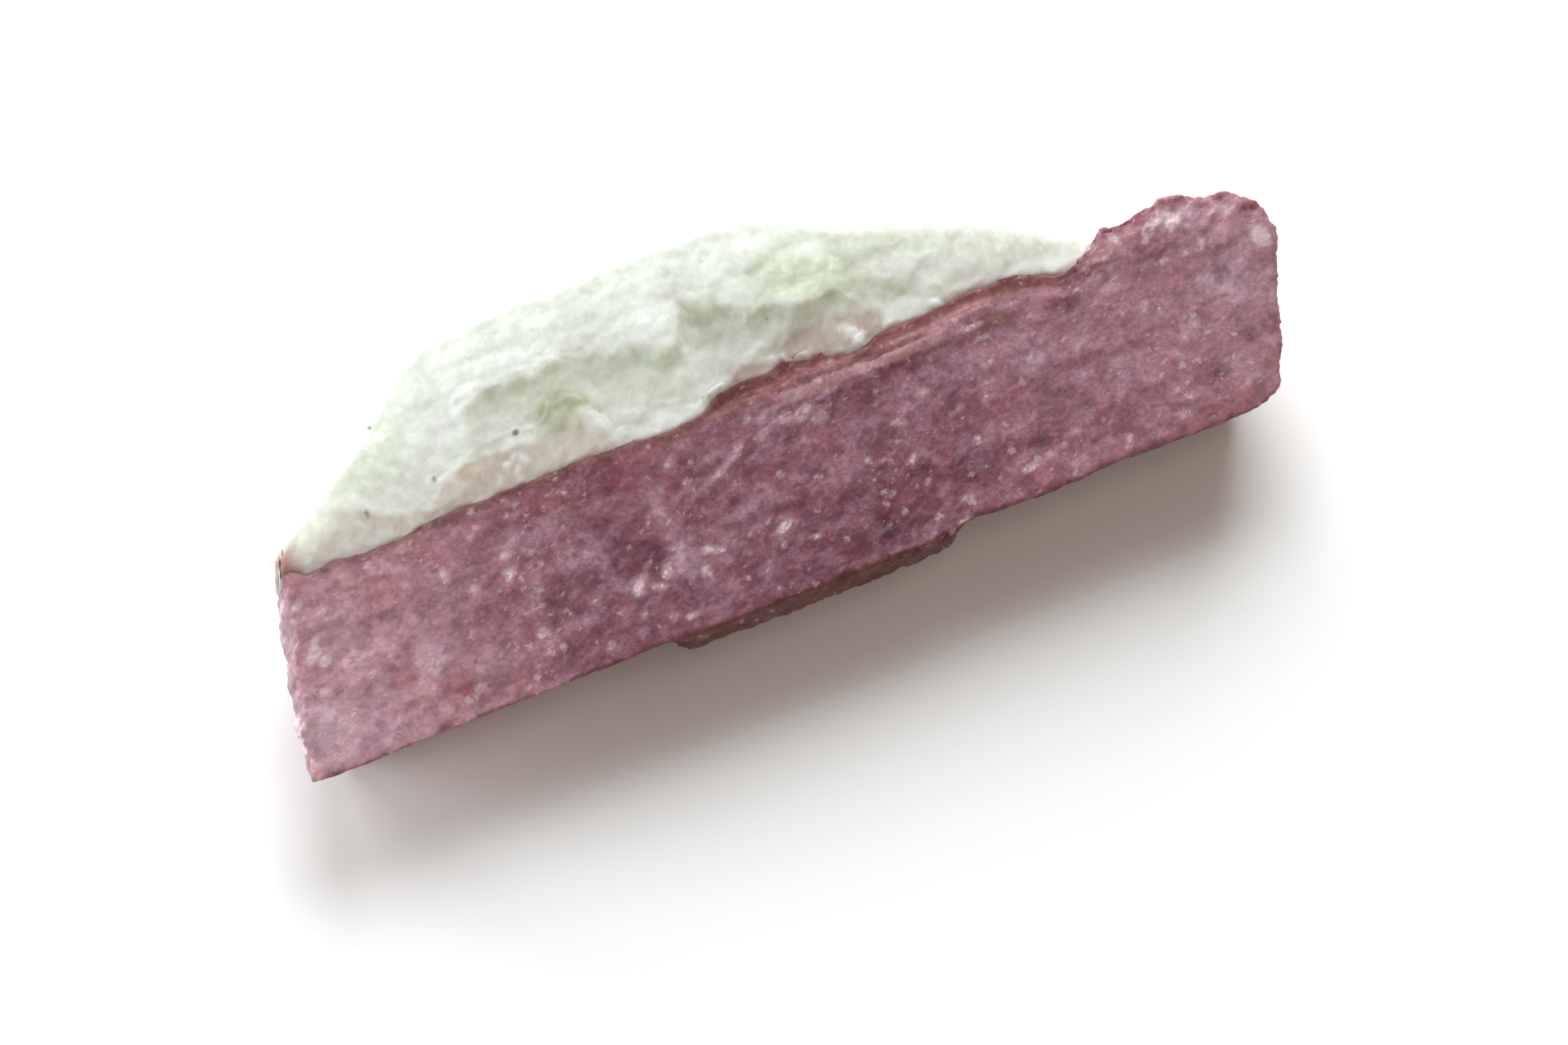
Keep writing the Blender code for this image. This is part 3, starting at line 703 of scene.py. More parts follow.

# %% Pale marks and stains of the prism
# pale marks: pale cleavage faces and flecks, partly painted highlights where small faces catch the light
PALE = (
    (34.7, 7.55, 0.45, 0.1, 1, 35), (34.5, 7.15, 0.4, 0.09, 0.9, 30), (35.4, 7, 0.35, 0.09, 0.8, 30),
    (1.5, 1.5, 0.8, 1.2, 0.4), (5.5, 2.75, 0.45, 0.5, 0.6, 20), (5.1, 2.1, 0.2, 0.3, 0.5),
    (19.3, 5.7, 0.3, 0.14, 0.9, 20), (20.2, 5.9, 0.3, 0.14, 1, -10), (19.6, 6.3, 0.3, 0.1, 0.8, 30),
    (20.9, 6.5, 0.4, 0.2, 0.4), (32.4, 7.6, 0.14, 0.3, 1.8, 30), (33.3, 7.5, 0.12, 0.3, 1.6, 20),
    (35, 7.5, 0.5, 0.16, 1.8, 20), (31.9, 7, 0.3, 0.12, 0.8, 30), (1.9, 4.3, 0.35, 0.16, 2, 45),
    (2.1, 4.65, 0.3, 0.12, 2, 50), (2.2, 4, 0.22, 0.16, 2), (1.7, 6.5, 0.25, 0.1, 2, 65),
    (2.1, 6.1, 0.25, 0.12, 1.4, 40), (2.8, 5.6, 0.2, 0.1, 1, 30), (4, 6.5, 0.14, 0.1, 0.8),
    (4.9, 6.5, 0.16, 0.1, 0.7, 40), (7.2, 5.15, 0.16, 0.26, 1.5), (7.95, 4.35, 0.15, 0.15, 1),
    (9.3, 4.45, 0.2, 0.16, 1.4), (9.2, 4.2, 0.24, 0.1, 0.8, 20), (9.4, 5.05, 0.2, 0.11, 1.6),
    (10.4, 4.35, 0.13, 0.1, 0.8), (9.5, 3.75, 0.14, 0.09, 1), (8.6, 6.05, 0.14, 0.12, 0.7, 40),
    (8.9, 6.35, 0.14, 0.12, 0.7), (9.5, 2.1, 0.28, 0.2, 0.8), (7.3, 3.05, 0.1, 0.1, 0.8),
    (6.7, 1.1, 0.24, 0.13, 1), (5.4, 0.8, 0.2, 0.12, 0.7), (6.4, 0.85, 0.12, 0.1, 0.7),
    (8.7, 0.8, 0.16, 0.1, 0.8, 30), (11.5, 0.85, 0.16, 0.1, 0.7, 40), (13.2, 2.3, 0.3, 0.16, 1.8, 40),
    (13.8, 2.1, 0.22, 0.12, 1.4, -20), (14.3, 2.5, 0.24, 0.16, 1.4, 50), (13.8, 3, 0.16, 0.1, 0.7, 30),
    (12.9, 1.25, 0.16, 0.1, 0.7, 40), (14.5, 0.75, 0.3, 0.1, 0.8, 10), (13.9, 1, 0.2, 0.12, 0.6),
    (16.1, 2.6, 0.4, 0.12, 1.4, -25), (15.6, 2, 0.2, 0.2, 0.8), (16.2, 5.15, 0.15, 0.12, 0.8),
    (15.3, 5.2, 0.14, 0.14, 0.6), (15.9, 6, 0.22, 0.12, 0.7, 30), (17.4, 5, 0.5, 0.1, 0.6, 30),
    (18.2, 5.4, 0.4, 0.1, 0.6, 35), (19, 6.4, 0.16, 0.13, 1.1, 40), (19.3, 4.2, 0.14, 0.14, 0.7),
    (18.7, 2.45, 0.3, 0.16, 1.5, 20), (19.5, 1.75, 0.26, 0.1, 0.9, -10), (18.4, 1.8, 0.14, 0.1, 0.8),
    (22.3, 3.45, 0.1, 0.15, 1.2), (23.7, 2.95, 0.1, 0.16, 1.2, -30), (22.5, 2.1, 0.2, 0.12, 0.6),
    (23.9, 4.3, 0.2, 0.2, 0.7), (25, 5, 0.24, 0.14, 0.7), (26, 2.75, 0.13, 0.16, 1),
    (26, 4.1, 0.13, 0.1, 0.9, 40), (28.3, 4.1, 0.1, 0.13, 1.2), (27.3, 1.15, 0.36, 0.11, 1),
    (24.9, 1, 0.3, 0.11, 0.9), (24.5, 0.35, 0.3, 0.08, 0.9), (28.7, 1.5, 0.14, 0.1, 0.7),
    (28.95, 4.75, 0.25, 0.08, 0.8, 50), (30.6, 4.5, 0.2, 0.1, 0.6), (30.8, 0.75, 0.3, 0.07, 0.7, 45),
    (33.3, 4.9, 0.3, 0.13, 0.8, 60), (33.8, 4.6, 0.08, 0.13, 1), (36, 4.55, 0.13, 0.11, 0.9),
    (34.2, 3.5, 0.14, 0.2, 0.8), (34.7, 3.8, 0.16, 0.22, 0.6), (33, 1, 0.2, 0.14, 0.6),
    (27.5, 6.5, 0.45, 0.12, 1.1), (27.7, 6, 0.35, 0.07, 0.9), (28.9, 6.75, 0.35, 0.1, 0.7),
    (34.3, 7.1, 0.1, 0.26, 1.8, -15), (32.8, 6.9, 0.16, 0.13, 0.9), (35.4, 7.25, 0.3, 0.22, 1.6, 30),
    (34.6, 6.15, 0.2, 0.12, 0.8), (35.3, 6.1, 0.2, 0.14, 0.8), (36, 5.55, 0.1, 0.14, 0.9),
    (36, 6.2, 0.14, 0.2, 0.7), (38, 5.7, 0.28, 0.34, 3), (37.3, 7, 0.3, 0.2, 0.7),
    (20.9, 5.9, 0.4, 0.2, 0.8, 20), (21.3, 5.5, 0.3, 0.2, 0.7), (22, 6.25, 0.4, 0.1, 0.7, 15),
    (0.55, 2.3, 0.14, 0.5, 1.2), (0.35, 1.7, 0.16, 0.3, 3), (0.45, 2.4, 0.14, 0.45, 3),
    (0.75, 3.4, 0.2, 0.2, 1.2), (1, 4.6, 0.3, 0.3, 0.9), (1.2, 5.6, 0.3, 0.3, 0.8),
    (0.4, 0.9, 0.16, 0.2, 1))
ROSE = (
    (22.9, 7.15, 1, 0.22, 1.5), (26.7, 7.2, 2.2, 0.3, 1.35), (32.8, 7.4, 1.3, 0.5, 0.7),
    (30, 6.9, 0.5, 0.15, 0.5))
BROWN = (
    (29.7, 7.05, 0.9, 0.25, 1.1, -12), (18.9, 7.1, 0.9, 0.3, 0.9), (28.3, 6.35, 0.6, 0.2, 1.2),
    (21, 7.3, 0.5, 0.2, 0.4), (12, 6, 1.2, 0.2, 0.5), (16.8, 6.8, 1.2, 0.15, 0.6),
    (23.6, 6.05, 0.9, 0.1, 0.6), (27, 6.1, 0.4, 0.1, 0.8))
VEILS = (  # half width, strength and route
    (0.22, 0.9, ((15.1, 5.4), (14.9, 4.6), (15, 3.9), (15.4, 3.3), (15.6, 2.8), (15.3, 2.3), (15.6, 1.7))),
    (0.24, 0.8, ((12.3, 4.6), (12.4, 3.9), (12.3, 3.2), (12.5, 2.6), (13, 2.3))),
    (0.12, 0.7, ((10.1, 3.9), (9.8, 3.4), (9.5, 3))), (0.2, 0.5, ((9.6, 5.4), (10.8, 5.2), (11.8, 5.5))),
    (0.16, 0.6, ((16.6, 4.6), (17.4, 5), (18.2, 5.5), (18.7, 5.9))),
    (0.2, 0.5, ((17, 3), (18, 3.3), (19.2, 3.4))),
    (0.14, 0.6, ((29.8, 3.4), (30.8, 3.5), (31.8, 3.6), (32.4, 3.5))),
    (0.16, 0.6, ((37.9, 5), (37.7, 4.2), (37.8, 3.4))), (0.16, 0.5, ((26.2, 4.8), (26.6, 5.3), (27, 5.7))),
    (0.14, 0.5, ((24.2, 4.5), (24.8, 5), (25.9, 5.4))),
    (0.14, 0.6, ((19.8, 5.3), (20.4, 5.8), (21.2, 6.2))), (0.1, 0.5, ((7, 1.8), (7.8, 2.4), (8.4, 2.7))))
print(len(PALE), "pale marks and", len(VEILS), "veils")


# %% Paint the prism
def paint_prism(piece):
    """Colour zones of the prism, some of them painted shade and painted highlights."""
    points, face = places(piece), prism["face"]
    along, back, up = points.T
    grown, crisp = fray(points, 0.22, 1.3), fray(points, 0.07, 4.9)
    mottled = face * np.clip(0.8 + 0.9 * waves(points, 0.4, 3.7) + 0.5 * waves(points, 0.2, 9.2), 0, 1.3)
    deeper_front = 0.11 * band(along, 20, 36, 2) * (1 - step(back, 2.0, 3.6))
    veils = np.maximum(spots(fray(points, 0.2, 7.7), LILAC), 0.9 * ribbons(crisp, VEILS))
    broken = prism["ends"] * step(up, 4.0, 4.8) * np.clip(0.35 + 1.5 * waves(points, 0.45, 2.8), 0, 0.7)
    behind_rib = grown[:, 1] - line(along, RIB)
    rim = np.interp(along, prism_at, prism_back)
    near_rim = step(grown[:, 1], rim - 0.5, rim - 0.2) * band(along, 2.2, 31, 0.5) * step(up, 5, 6)
    wavy = back + 0.10 * waves(points, 0.6, 1.0) + 0.06 * waves(points, 0.2, 5.0)
    front = 1 - step(wavy, 0.08, 0.22 + 0.14 * step(along, 22, 26))
    keep(piece, {
        "body": line(grown[:, 0], BODY) + deeper_front,
        "plum": spots(grown, PLUM) * mottled,
        "lilac": veils * mottled,
        "reddish": spots(grown, REDDISH) * mottled,
        "brown": spots(grown, BROWN) * face,
        "pale": spots(crisp, PALE, 0.35) * np.maximum(face, broken) * step(up, 3.8, 4.4),
        "rose": spots(grown, ROSE) * face,
        # a painted highlight, a paler tone, on the rib
        "rib": prism["rib"],
        # painted shade, a dark red line, in the groove
        "groove": prism["groove"],
        "back strip": step(behind_rib, 0.25, 0.4) * band(along, 17.6, 31.2, 0.5) * face,
        # painted shade, dark red-brown, along the prism's back edge where the matrix meets it
        "contact": near_rim * (1 - 0.6 * step(along, 20.5, 22)),
        "left end": (1 - step(along, 1.9, 2.6)) * prism["ends"],
        # painted shade, dark brown, on the front side under the wide face, weaker towards the left end
        "underside_shade": prism["under"] * (1 - step(up, 4.9, 5.02)) * (0.3 + 0.7 * step(along, 9, 13)),
        "front edge": front * (1 - step(np.abs(up - 5), 0.15, 0.35))})


paint_prism(crystal)

# %% Marks of the matrix
# greenish marks: the stone's green-grey and olive tint, and at 12.2 and 19.4 along a painted shade on slopes
# that face away from the light
GREENISH = (
    (12.2, 9.8, 1.9, 0.45, 0.5), (19.4, 9.8, 1.7, 0.7, 0.6, -10), (18.5, 10.3, 0.4, 0.4, 0.5),
    (13.2, 8.8, 1.1, 0.7, 1.7), (25, 8.8, 1.2, 0.35, 0.6, -18), (22.5, 9.5, 2, 0.5, 0.5, -10),
    (16.2, 8.7, 1.8, 0.9, 0.5), (26.5, 8.8, 2.5, 0.5, 0.1, -15), (21.8, 10, 0.8, 0.4, 0.5),
    (24, 10.8, 2.6, 0.7, 0.3, -15), (22.8, 9.8, 2, 0.8, 1.5, -20))
# white marks: white crystals on the knobs and in patches; the broad one at 8.7 along is painted light on a
# slope that faces away from the light
WHITE = (
    (8.7, 9.8, 1.3, 0.8, 0.6), (3.7, 8.1, 0.8, 0.4, 0.5), (21.7, 7.55, 0.42, 0.28, 1),
    (23.8, 7.45, 0.2, 0.25, 1), (23.6, 7.8, 0.2, 0.2, 0.9), (10.75, 7.85, 0.24, 0.13, 1, 30),
    (11.15, 8.05, 0.2, 0.16, 1, -20), (11.45, 7.8, 0.15, 0.12, 0.9), (11, 7.55, 0.22, 0.09, 0.9, 10),
    (26.8, 7.75, 0.28, 0.24, 1), (17.2, 10.6, 0.55, 0.75, 0.6, 20), (24.9, 7.7, 0.2, 0.2, 0.8),
    (15.2, 8, 0.2, 0.3, 0.5), (27.9, 8.8, 1.6, 0.5, 0.4, -12), (14.1, 8.1, 0.5, 0.35, 0.6))
RUSTY = (
    (19.7, 7.95, 0.75, 0.25, 1.2), (20.95, 7.8, 0.2, 0.35, 1.4), (22.6, 8, 1.5, 0.5, 0.5),
    (24.3, 8, 0.5, 0.4, 0.7), (28, 7.85, 1.2, 0.25, 0.5), (1.9, 7.6, 0.45, 0.8, 1.3, 20),
    (3.3, 7.6, 1, 0.6, 0.35), (13, 8.9, 0.8, 0.5, 0.35), (5.6, 8, 0.3, 0.2, 0.4),
    (21.7, 8.4, 0.8, 0.16, 0.7, 8), (24.2, 8.3, 0.5, 0.16, 0.7, -15), (7, 7.75, 1.3, 0.25, 0.35, 12))
WORN = ((13.2, 8.7, 1.0, 0.5, 1.0),)  # a place where the low zone's beige is thin
SPECKS = ((11.4, 8.7, 0.09), (8.2, 8.3, 0.09), (5.6, 8.05, 0.08), (6.8, 10.6, 0.07), (19.6, 11.9, 0.05))
print(len(GREENISH + WHITE + RUSTY + WORN + SPECKS), "marks on the matrix")


# %% Paint the matrix
def paint_matrix(piece):
    """Colour zones of the matrix, some of them painted shade."""
    points, normals = places(piece), facing(piece)
    along, back, up = points.T
    at = frayed[:, 1]
    grown = fray(points, 0.2, 1.8)
    tip = 1 - step(along + 0.3 * waves(points, 0.5, 4.0), 2.2, 3.2)
    low = step(at, lines["contact"] - 0.1, lines["contact"] + 0.1)
    low *= 1 - step(at, lines["first"] - 0.16, lines["first"] + 0.05)
    low *= np.clip(0.85 + 0.5 * waves(points, 0.45, 5.5) + 0.4 * waves(points, 0.18, 2.5), 0, 1.2)
    low *= 1 - 0.6 * spots(grown, WORN)
    # painted shade in grey-green on the steep slope below each second edge, which faces away from the light
    riser_shade = step(at, lines["second"] - 1.0, lines["second"] - 0.15)
    riser_shade *= 1 - step(at, lines["second"] - 0.04, lines["second"] + 0.04)
    # painted shade: the wall behind the crest, the low ends and the facets that face down are made a darker
    # grey so that the light from behind does not burn them white
    wall = step(normals @ (-0.3, 0.95, 0) + 0.04 * waves(points, 0.6, 7.1), 0.3, 0.55)
    wall *= 1 - 0.8 * tip * step(up, 5.0, 6.5)
    ends = step(np.maximum(np.abs(normals[:, 0]), -normals[:, 2]), 0.3, 0.55) * (1 - step(up, 5.2, 6.6))
    crest_shade = step(at, lines["crest"] - 0.9, lines["crest"] - 0.1)
    crest_shade *= 0.2 + 0.8 * band(along, 3.4, 24, 1.5)
    specks = [(place, deep, radius, radius, 1) for place, deep, radius in SPECKS]
    keep(piece, {
        "low zone": low * matrix_top * (0.32 + 0.48 * step(along, 4.5, 7.5)),
        "riser_shade": riser_shade * band(along, 9.8, 22.0, 0.8) * matrix_top,
        "greenish": spots(grown, GREENISH) * matrix_top,
        "white": spots(fray(points, 0.14, 6.3), WHITE, 0.2) * matrix_top,
        "rusty": np.maximum(spots(grown, RUSTY), 2.2 * tip),
        # painted shade, rust-brown, on the matrix's foot where it meets the prism
        "contact": (1 - step(back - lines["contact"], 0.0, 0.16)) * step(up, 4, 5),
        # painted shade on the wall behind the crest, on the ends and on a band under the crest
        "back wall": np.maximum(np.maximum(wall, ends), 0.34 * crest_shade),
        "speck": spots(points, specks, 0.3) * matrix_top})


paint_matrix(matrix)
print("painted", len(crystal.data.attributes), "and", len(matrix.data.attributes), "attributes")

# %% [markdown]
# ## Effects that both stones share
#
# Grain, flecks, clouds and cracks belong to both stones, only with other sizes and colours. Each is a
# node group with named inputs, built once. A group gives out a mask or a height, and the material
# decides what it does with it.

# %% Node helpers
def fill(tree, node, values):
    """Sets a node's inputs to values, or links them to sockets."""
    for name, value in values.items():
        if isinstance(value, bpy.types.NodeSocket):
            tree.links.new(value, node.inputs[name])
        else:
            node.inputs[name].default_value = value
    return node


def add(tree, kind, values=None, **settings):
    """Adds a node, with settings and with input values or links."""
    made = tree.nodes.new(kind)
    for name, value in settings.items():
        setattr(made, name, value)
    return fill(tree, made, values or {})


def maths(tree, operation, first, second=0.5, third=0.5):
    """One Math node's result."""
    return add(tree, "ShaderNodeMath", {0: first, 1: second, 2: third}, operation=operation).outputs[0]


def times(tree, first, second):
    """Two numbers multiplied."""
    return maths(tree, "MULTIPLY", first, second)


def span(tree, value, low, high, to_low=0.0, to_high=1.0):
    """Value from low to high, eased and spread over another range."""
    ends = {"From Min": low, "From Max": high, "To Min": to_low, "To Max": to_high}
    made = add(tree, "ShaderNodeMapRange", {"Value": value, **ends}, interpolation_type="SMOOTHSTEP")
    return made.outputs["Result"]


VECTOR, FLOAT = "NodeSocketVector", "NodeSocketFloat"


def new_group(name, inputs, outputs):
    """An empty node group with a Point, named number inputs and number outputs."""
    tree = bpy.data.node_groups.new(name, "ShaderNodeTree")
    tree.interface.new_socket("Point", in_out="INPUT", socket_type=VECTOR)
    for socket, start in inputs.items():
        tree.interface.new_socket(socket, in_out="INPUT", socket_type=FLOAT).default_value = start
    for socket in outputs:
        tree.interface.new_socket(socket, in_out="OUTPUT", socket_type=FLOAT)
    return tree, tree.nodes.new("NodeGroupInput").outputs, tree.nodes.new("NodeGroupOutput").inputs


def texture(tree, kind, point, size, values=None, **settings):
    """A procedural texture whose pattern is about size across."""
    inputs = {"Vector": point, "Scale": maths(tree, "DIVIDE", 1.0, size), **(values or {})}
    return add(tree, "ShaderNodeTex" + kind, inputs, **settings).outputs


def shaken(tree, point, size, amount):
    """A point moved about by noise, which bends what is drawn through it."""
    vector = "ShaderNodeVectorMath"
    bend = texture(tree, "Noise", point, size, {"Detail": 2.0})["Color"]
    centred = add(tree, vector, {0: bend, 1: (0.5, 0.5, 0.5)}, operation="SUBTRACT").outputs[0]
    far = add(tree, vector, {0: centred, "Scale": times(tree, size, amount)}, operation="SCALE").outputs[0]
    return add(tree, vector, {0: point, 1: far}, operation="ADD").outputs[0]


# %% Grain group
def grain_group():
    """Sugary grain: light and dark, with a height for the bump."""
    tree, given, result = new_group("stone grain", {"Size": 0.3}, ("Grain", "Height"))
    point, size = given["Point"], given["Size"]
    sugary = {"Detail": 5.0, "Roughness": 0.62, "Distortion": 0.3}
    coarse = texture(tree, "Noise", point, size, sugary)["Fac"]
    smaller = maths(tree, "DIVIDE", size, 1.3)
    cells = texture(tree, "Voronoi", shaken(tree, point, size, 1.2), smaller, feature="F1")["Distance"]
    shade = maths(tree, "SUBTRACT", coarse, times(tree, cells, 0.15))
    tree.links.new(span(tree, shade, 0.22, 0.66), result["Grain"])
    tree.links.new(shade, result["Height"])
    return tree


# %% Flecks group
def flecks_group():
    """Small bright or dark flecks of uneven shape, gathered in clusters."""
    inputs = {"Spacing": 0.8, "Size": 0.2, "Share": 0.3, "Gathered": 1.0}
    tree, given, result = new_group("stone flecks", inputs, ("Mask",))
    point, size, spacing = given["Point"], given["Size"], given["Spacing"]
    cells = texture(tree, "Voronoi", shaken(tree, point, size, 2.6), spacing, feature="F1")
    draw = add(tree, "ShaderNodeSeparateColor", {"Color": cells["Color"]}).outputs
    cluster = add(tree, "ShaderNodeTexNoise", {"Vector": point, "Scale": 0.45, "Detail": 2.0}).outputs["Fac"]
    more = times(tree, maths(tree, "SUBTRACT", cluster, 0.5), given["Gathered"])
    chosen = maths(tree, "LESS_THAN", draw["Red"], maths(tree, "ADD", given["Share"], more))
    radius = times(tree, size, maths(tree, "ADD", draw["Green"], 0.4))
    far = times(tree, cells["Distance"], spacing)
    near = maths(tree, "SUBTRACT", 1.0, maths(tree, "DIVIDE", far, radius))
    tree.links.new(times(tree, chosen, span(tree, near, 0.0, 0.6)), result["Mask"])
    return tree


# %% Clouds group
def clouds_group():
    """Clouds with frayed borders, for veils inside the stone."""
    tree, given, result = new_group("stone clouds", {"Size": 2.0, "Cover": 0.5, "Softness": 0.12}, ("Mask",))
    frayed_noise = {"Detail": 5.0, "Roughness": 0.6, "Distortion": 0.35}
    cloud = texture(tree, "Noise", given["Point"], given["Size"], frayed_noise)["Fac"]
    level = maths(tree, "SUBTRACT", 1.0, given["Cover"])
    low = maths(tree, "SUBTRACT", level, given["Softness"])
    high = maths(tree, "ADD", level, given["Softness"])
    tree.links.new(span(tree, cloud, low, high), result["Mask"])
    return tree


# %% Cracks group
def cracks_group():
    """Thin healed cracks along the borders of bent cells."""
    tree, given, result = new_group("stone cracks", {"Size": 2.0, "Width": 0.04}, ("Mask",))
    point, size = given["Point"], given["Size"]
    bent = shaken(tree, point, size, 1.1)
    border = texture(tree, "Voronoi", bent, size, feature="DISTANCE_TO_EDGE")["Distance"]
    broken = add(tree, "ShaderNodeTexNoise", {"Vector": point, "Scale": 0.6}).outputs["Fac"]
    thin = maths(tree, "SUBTRACT", 1.0, span(tree, border, 0.0, given["Width"]))
    tree.links.new(times(tree, thin, span(tree, broken, 0.45, 0.6)), result["Mask"])
    return tree


GRAIN, FLECKS, CLOUDS, CRACKS = grain_group(), flecks_group(), clouds_group(), cracks_group()
print("shared groups:", [group.name for group in (GRAIN, FLECKS, CLOUDS, CRACKS)])


# %% Painting with nodes
def use(tree, group, values):
    """Places a shared group in a material with its own values."""
    return fill(tree, add(tree, "ShaderNodeGroup", node_tree=group), values).outputs


def stone_point(tree, stretch=(1, 1, 1), turn=0.0):
    """The place on the stone in millimetres, so that every size below is in millimetres."""
    inputs = {"Vector": add(tree, "ShaderNodeTexCoord").outputs["Object"], "Angle": np.radians(-turn)}
    turned = add(tree, "ShaderNodeVectorRotate", inputs, rotation_type="Z_AXIS").outputs[0]
    scale = tuple(v / MM for v in stretch)
    return add(tree, "ShaderNodeMapping", {"Vector": turned, "Scale": scale}).outputs["Vector"]


def painted(tree, name, share=1.0):
    """A zone painted on the mesh, times a share."""
    return times(tree, add(tree, "ShaderNodeAttribute", attribute_name=name).outputs["Fac"], share)


def tint(tree, share, below, above, blend="MIX"):
    """Lays a colour over another by a share."""
    made = add(tree, "ShaderNodeMix", {"Factor": share}, data_type="RGBA", blend_type=blend)
    for socket, colour in ((6, below), (7, above)):
        if isinstance(colour, bpy.types.NodeSocket):
            tree.links.new(colour, made.inputs[socket])
        else:
            made.inputs[socket].default_value = (*colour, 1)
    return made.outputs[2]


def cloud(tree, point, size, cover, softness):
    """A mask of clouds."""
    return use(tree, CLOUDS, {"Point": point, "Size": size, "Cover": cover, "Softness": softness})["Mask"]


def flecks(tree, point, spacing, size, share, gathered):
    """A mask of flecks."""
    values = {"Point": point, "Spacing": spacing, "Size": size, "Share": share, "Gathered": gathered}
    return use(tree, FLECKS, values)["Mask"]


def glazed(tree, colour, coats, masks):
    """Lays coats over a colour in turn: each is a mask or a painted zone, its share and its tone."""
    for name, share, tone in coats:
        amount = times(tree, masks[name], share) if name in masks else painted(tree, name, share)
        colour = tint(tree, amount, colour, tone)
    return colour


def grained(tree, colour, grain, dark, light):
    """A colour made darker and lighter by a grain."""
    return tint(tree, 1.0, colour, tint(tree, grain, dark, light), "MULTIPLY")


def skin(tree, shader, colour, rough, height, strength, depth):
    """Gives the shader its colour, its roughness and a bump of a depth in millimetres."""
    bump = add(tree, "ShaderNodeBump", {"Strength": strength, "Distance": depth * MM, "Height": height})
    fill(tree, shader, {"Base Color": colour, "Roughness": rough, "Normal": bump.outputs["Normal"]})


# %% [markdown]
# ## Tourmaline
#
# The crystal is mauve-pink and only just lets light in, so it glows a little under its skin. Its
# colour is built in coats, like a glaze painting: a body that is paler at the left end, plum depths,
# lilac veils, red tints, then the bright flecks where small cleavage faces lie open, partly painted
# glints. Some coats are painted light: shade on the front side under the wide face, in the groove and
# along the contact, and a highlight on the rib. The finest grain only changes how light or dark a place
# is. One long chain of Mix nodes would do the same, but a list of coats, each a mask or a painted zone
# with its share and tone, is easier to read and to reorder.

# %% The tourmaline's coats
BODY_PALE, BODY_DEEP = (0.500, 0.275, 0.308), (0.190, 0.049, 0.078)
PLUM_TONE, LILAC_TONE, RED_TONE = (0.082, 0.013, 0.032), (0.440, 0.270, 0.330), (0.300, 0.085, 0.090)
FLECK_AND_GLINT_TONE, BROWN_AND_SHADE_TONE, SIDE_SHADE = (0.62, 0.47, 0.49), (0.15, 0.050, 0.030), (0.120, 0.036, 0.023)
ROSE_TONE, SALMON_TONE, RIB_HIGHLIGHT = (0.44, 0.21, 0.215), (0.43, 0.18, 0.195), (0.44, 0.24, 0.235)
GROOVE_SHADE, STRIP_TONE, END_TONE = (0.13, 0.026, 0.026), (0.31, 0.113, 0.107), (0.27, 0.165, 0.19)
# among these coats the front side under the wide face, the groove and the contact are painted shade, and the
# rib a painted highlight
COATS = (
    ("deep", 0.38, PLUM_TONE), ("salmon", 0.32, SALMON_TONE), ("warm", 0.14, RED_TONE),
    ("reddish", 0.55, RED_TONE), ("plum", 0.60, PLUM_TONE), ("veil", 0.30, LILAC_TONE),
    ("wisps", 0.24, LILAC_TONE), ("lilac", 0.58, LILAC_TONE), ("back strip", 0.75, STRIP_TONE),
    ("rose", 0.7, ROSE_TONE), ("brown", 0.5, BROWN_AND_SHADE_TONE), ("groove", 0.7, GROOVE_SHADE),
    ("rib", 0.6, RIB_HIGHLIGHT), ("left end", 0.8, END_TONE), ("contact", 0.75, BROWN_AND_SHADE_TONE),
    ("underside_shade", 0.9, SIDE_SHADE), ("front edge", 0.7, BROWN_AND_SHADE_TONE))
FLECK_COATS = (
    ("pits", 0.28, PLUM_TONE), ("small", 0.34, FLECK_AND_GLINT_TONE), ("large", 0.42, FLECK_AND_GLINT_TONE),
    ("marks", 1.0, FLECK_AND_GLINT_TONE))
print(len(COATS + FLECK_COATS), "coats on the tourmaline")

# %% Mix the tourmaline
CRYSTAL_BODY = {
    "IOR": 1.62, "Specular IOR Level": 0.22, "Subsurface Weight": 0.15, "Subsurface Radius": (1.0, 0.4, 0.5),
    "Subsurface Scale": 0.5 * MM}


